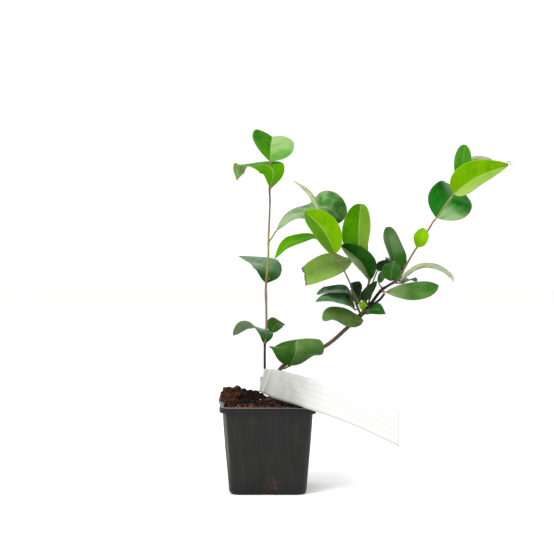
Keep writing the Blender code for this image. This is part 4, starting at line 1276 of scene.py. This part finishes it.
def dress_soil():
    """Makes the soil's heap."""
    shape = bmesh.new()
    rings = []
    levels = [height for half, height in WALL_LEVELS]
    for height in (FLOOR_TOP + SOIL_GAP, *levels, SOIL_EDGE - SOIL_EDGE_DROP):
        half = wall_half(height) - WALL_THICKNESS - SOIL_GAP
        rings.append(rounded_ring(shape, half, height, SOIL_CORNER, SOIL_CORNER_STEPS, SOIL_SIDE_STEPS))
    for step in range(SOIL_RINGS):
        share = SOIL_OUTER_RING * (1 - step / SOIL_RINGS) + SOIL_INNER_RING
        corner = SOIL_CORNER * share
        ring = rounded_ring(shape, half * share, SOIL_EDGE, corner, SOIL_CORNER_STEPS, SOIL_SIDE_STEPS)
        for vertex in ring:
            vertex.co.z = soil_height(vertex.co.x / MM, vertex.co.y / MM) * MM
        rings.append(ring)
    join_rings(shape, rings)
    bmesh.ops.recalc_face_normals(shape, faces=shape.faces)
    for face in shape.faces:
        face.smooth = True
    finish_piece("soil_heap", shape, [potting_mix()], "soil")


def has_crumb(kind, crumbs, x, y, dice):
    """Whether a crumb lies at a place: bark at the front left, the others by the ground's colour."""
    left, front, right = RED_GROUND
    left_out = crumbs.red_out if x < left or (y < front and x < right) else crumbs.dark_out
    if left_out and dice.random() < left_out:
        return False
    left, right, front, back = BARK_GROUND
    if kind == "bark" and not (left < x < right and front < y < back):
        return False
    return from_trunk(x, y) >= TRUNK_CLEAR


def dress_crumbs():
    """Makes the loose crumbs, bark chips and bits of perlite on the soil."""
    dice = random.Random(CRUMB_SEED)
    for kind, crumbs in CRUMBS.items():
        shape = bmesh.new()
        for number in range(crumbs.tries):
            x = dice.uniform(-CRUMB_REACH, CRUMB_REACH)
            y = dice.uniform(-CRUMB_REACH, CRUMB_REACH)
            if has_crumb(kind, crumbs, x, y, dice):
                add_crumb(shape, crumbs, x, y, dice)
        bmesh.ops.recalc_face_normals(shape, faces=shape.faces)
        paint = crumb_mix("soil " + kind, srgb(*crumbs.dark), srgb(*crumbs.light))
        finish_piece("soil_" + kind, shape, [paint], "soil")


def add_crumb(shape, crumbs, x, y, dice):
    """Adds a rough crumb that lies on the soil in its own way."""
    size = crumbs.small + (crumbs.large - crumbs.small) * dice.random() ** SMALL_CRUMBS
    height = soil_height(x, y) + size * CRUMB_SEAT
    turn = Matrix.Rotation(dice.uniform(0, FULL_TURN), 4, "Z")
    tilt = Matrix.Rotation(dice.uniform(-CRUMB_TILT, CRUMB_TILT), 4, "X")
    spread = Matrix.Diagonal((*[part * size * MM for part in crumbs.stretch], 1.0))
    place = Matrix.Translation(Vector((x, y, height)) * MM) @ (turn @ tilt) @ spread
    made = bmesh.ops.create_icosphere(shape, subdivisions=1, radius=CRUMB_RADIUS, matrix=place)
    for vertex in made["verts"]:
        push = Vector(noise.noise_vector(vertex.co / MM * CRUMB_FINENESS))
        vertex.co += push * CRUMB_ROUGHNESS * size * MM


def dress_clods():
    """Makes the clods that stand up out of the soil."""
    clods = bmesh.new()
    for x, y, z, radius in SOIL_CLODS:
        middle = Vector((x, y, z))
        place = Matrix.Translation(middle * MM)
        made = bmesh.ops.create_icosphere(clods, subdivisions=CLOD_FINENESS, radius=radius * MM, matrix=place)
        for vertex in made["verts"]:
            spot = vertex.co / MM
            out = (spot - middle).normalized()
            push = sum(rise * noise.noise(spot / size) for size, rise in CLOD_ROUGHNESS)
            vertex.co += out * push * radius * MM
    bmesh.ops.recalc_face_normals(clods, faces=clods.faces)
    finish_piece("soil_clods", clods, [potting_mix()], "soil")


def add_band(shape, edges, rows):
    """Adds a sheet between pairs of lower and upper points in millimetres."""
    last = len(edges) - 1

    def spot_at(along, up):
        low, high = edges[round(along * last)]
        return (along, up), low.lerp(high, up)

    add_sheet(shape, "strip", last, rows, spot_at)


def dress_label():
    """Makes the blank strip and the loop that holds it round the stems."""
    shape = bmesh.new()
    shape.loops.layers.uv.new("strip")
    low, high = smooth_path(LABEL_FOOT, LABEL_STEPS), smooth_path(LABEL_TOP, LABEL_STEPS)
    add_band(shape, list(zip(low, high)), LABEL_ROWS)
    loop = [Vector((x, y, LOOP_FOOT)) for x, y in LOOP]
    lift = Vector((0.0, 0.0, LOOP_HEIGHT))
    add_band(shape, [(spot, spot + lift) for spot in smooth_path(loop, LOOP_STEPS)], LOOP_ROWS)
    label = finish_piece("label_strip", shape, [label_plastic()], "label")
    thicken(label, LABEL_THICKNESS)


def set_stage():
    """Makes the floor, the sky, the lamps and the camera."""
    shape = bmesh.new()
    bmesh.ops.create_grid(shape, x_segments=1, y_segments=1, size=FLOOR_HALF)
    scene = bpy.context.scene
    floor = make_object("floor", shape, [floor_paint()], scene.collection)
    scene.view_settings.view_transform = "Standard"
    world = bpy.data.worlds.new("studio")
    world.use_nodes = True
    sky = world.node_tree.nodes["Background"].inputs
    sky["Color"].default_value = (1.0, 1.0, 1.0, 1.0)
    sky["Strength"].default_value = SKY
    scene.world = world
    for name, (place, size, power) in LAMPS.items():
        add_lamp(name, place, size, power)
    add_camera(scene)


def add_camera(scene):
    """A level camera in front of the plant."""
    lens = bpy.data.cameras.new("camera")
    lens.lens = CAMERA_LENS
    lens.sensor_width = 36.0
    lens.shift_y = CAMERA_SHIFT
    lens.clip_start = 0.05
    lens.clip_end = 20.0
    camera = bpy.data.objects.new("camera", lens)
    camera.location = Vector(CAMERA_PLACE) * MM
    camera.rotation_euler = (math.radians(90), 0.0, 0.0)
    scene.collection.objects.link(camera)
    scene.camera = camera


def add_lamp(name, place, size, power):
    """A soft square lamp that faces the crown."""
    light = bpy.data.lights.new(name, "AREA")
    light.size = size
    light.energy = power
    lamp = bpy.data.objects.new(name, light)
    lamp.location = place
    lamp.rotation_euler = (Vector(LAMP_AIM) - Vector(place)).to_track_quat("-Z", "Y").to_euler()
    bpy.context.scene.collection.objects.link(lamp)


def main():
    """Dresses the whole plant."""
    set_stage()
    dress_pot()
    dress_soil()
    dress_crumbs()
    dress_clods()
    skin = shoot_skin()
    for name, limb in LIMBS.items():
        dress_limb(name, limb, skin)
    tones = {name: (leaf_upper(name, tone), leaf_under(name, tone)) for name, tone in TONES.items()}
    for name, spray in SPRAYS.items():
        dress_blades(name, spray, tones)
        dress_shoot(name, spray, skin)
    dress_label()


main()
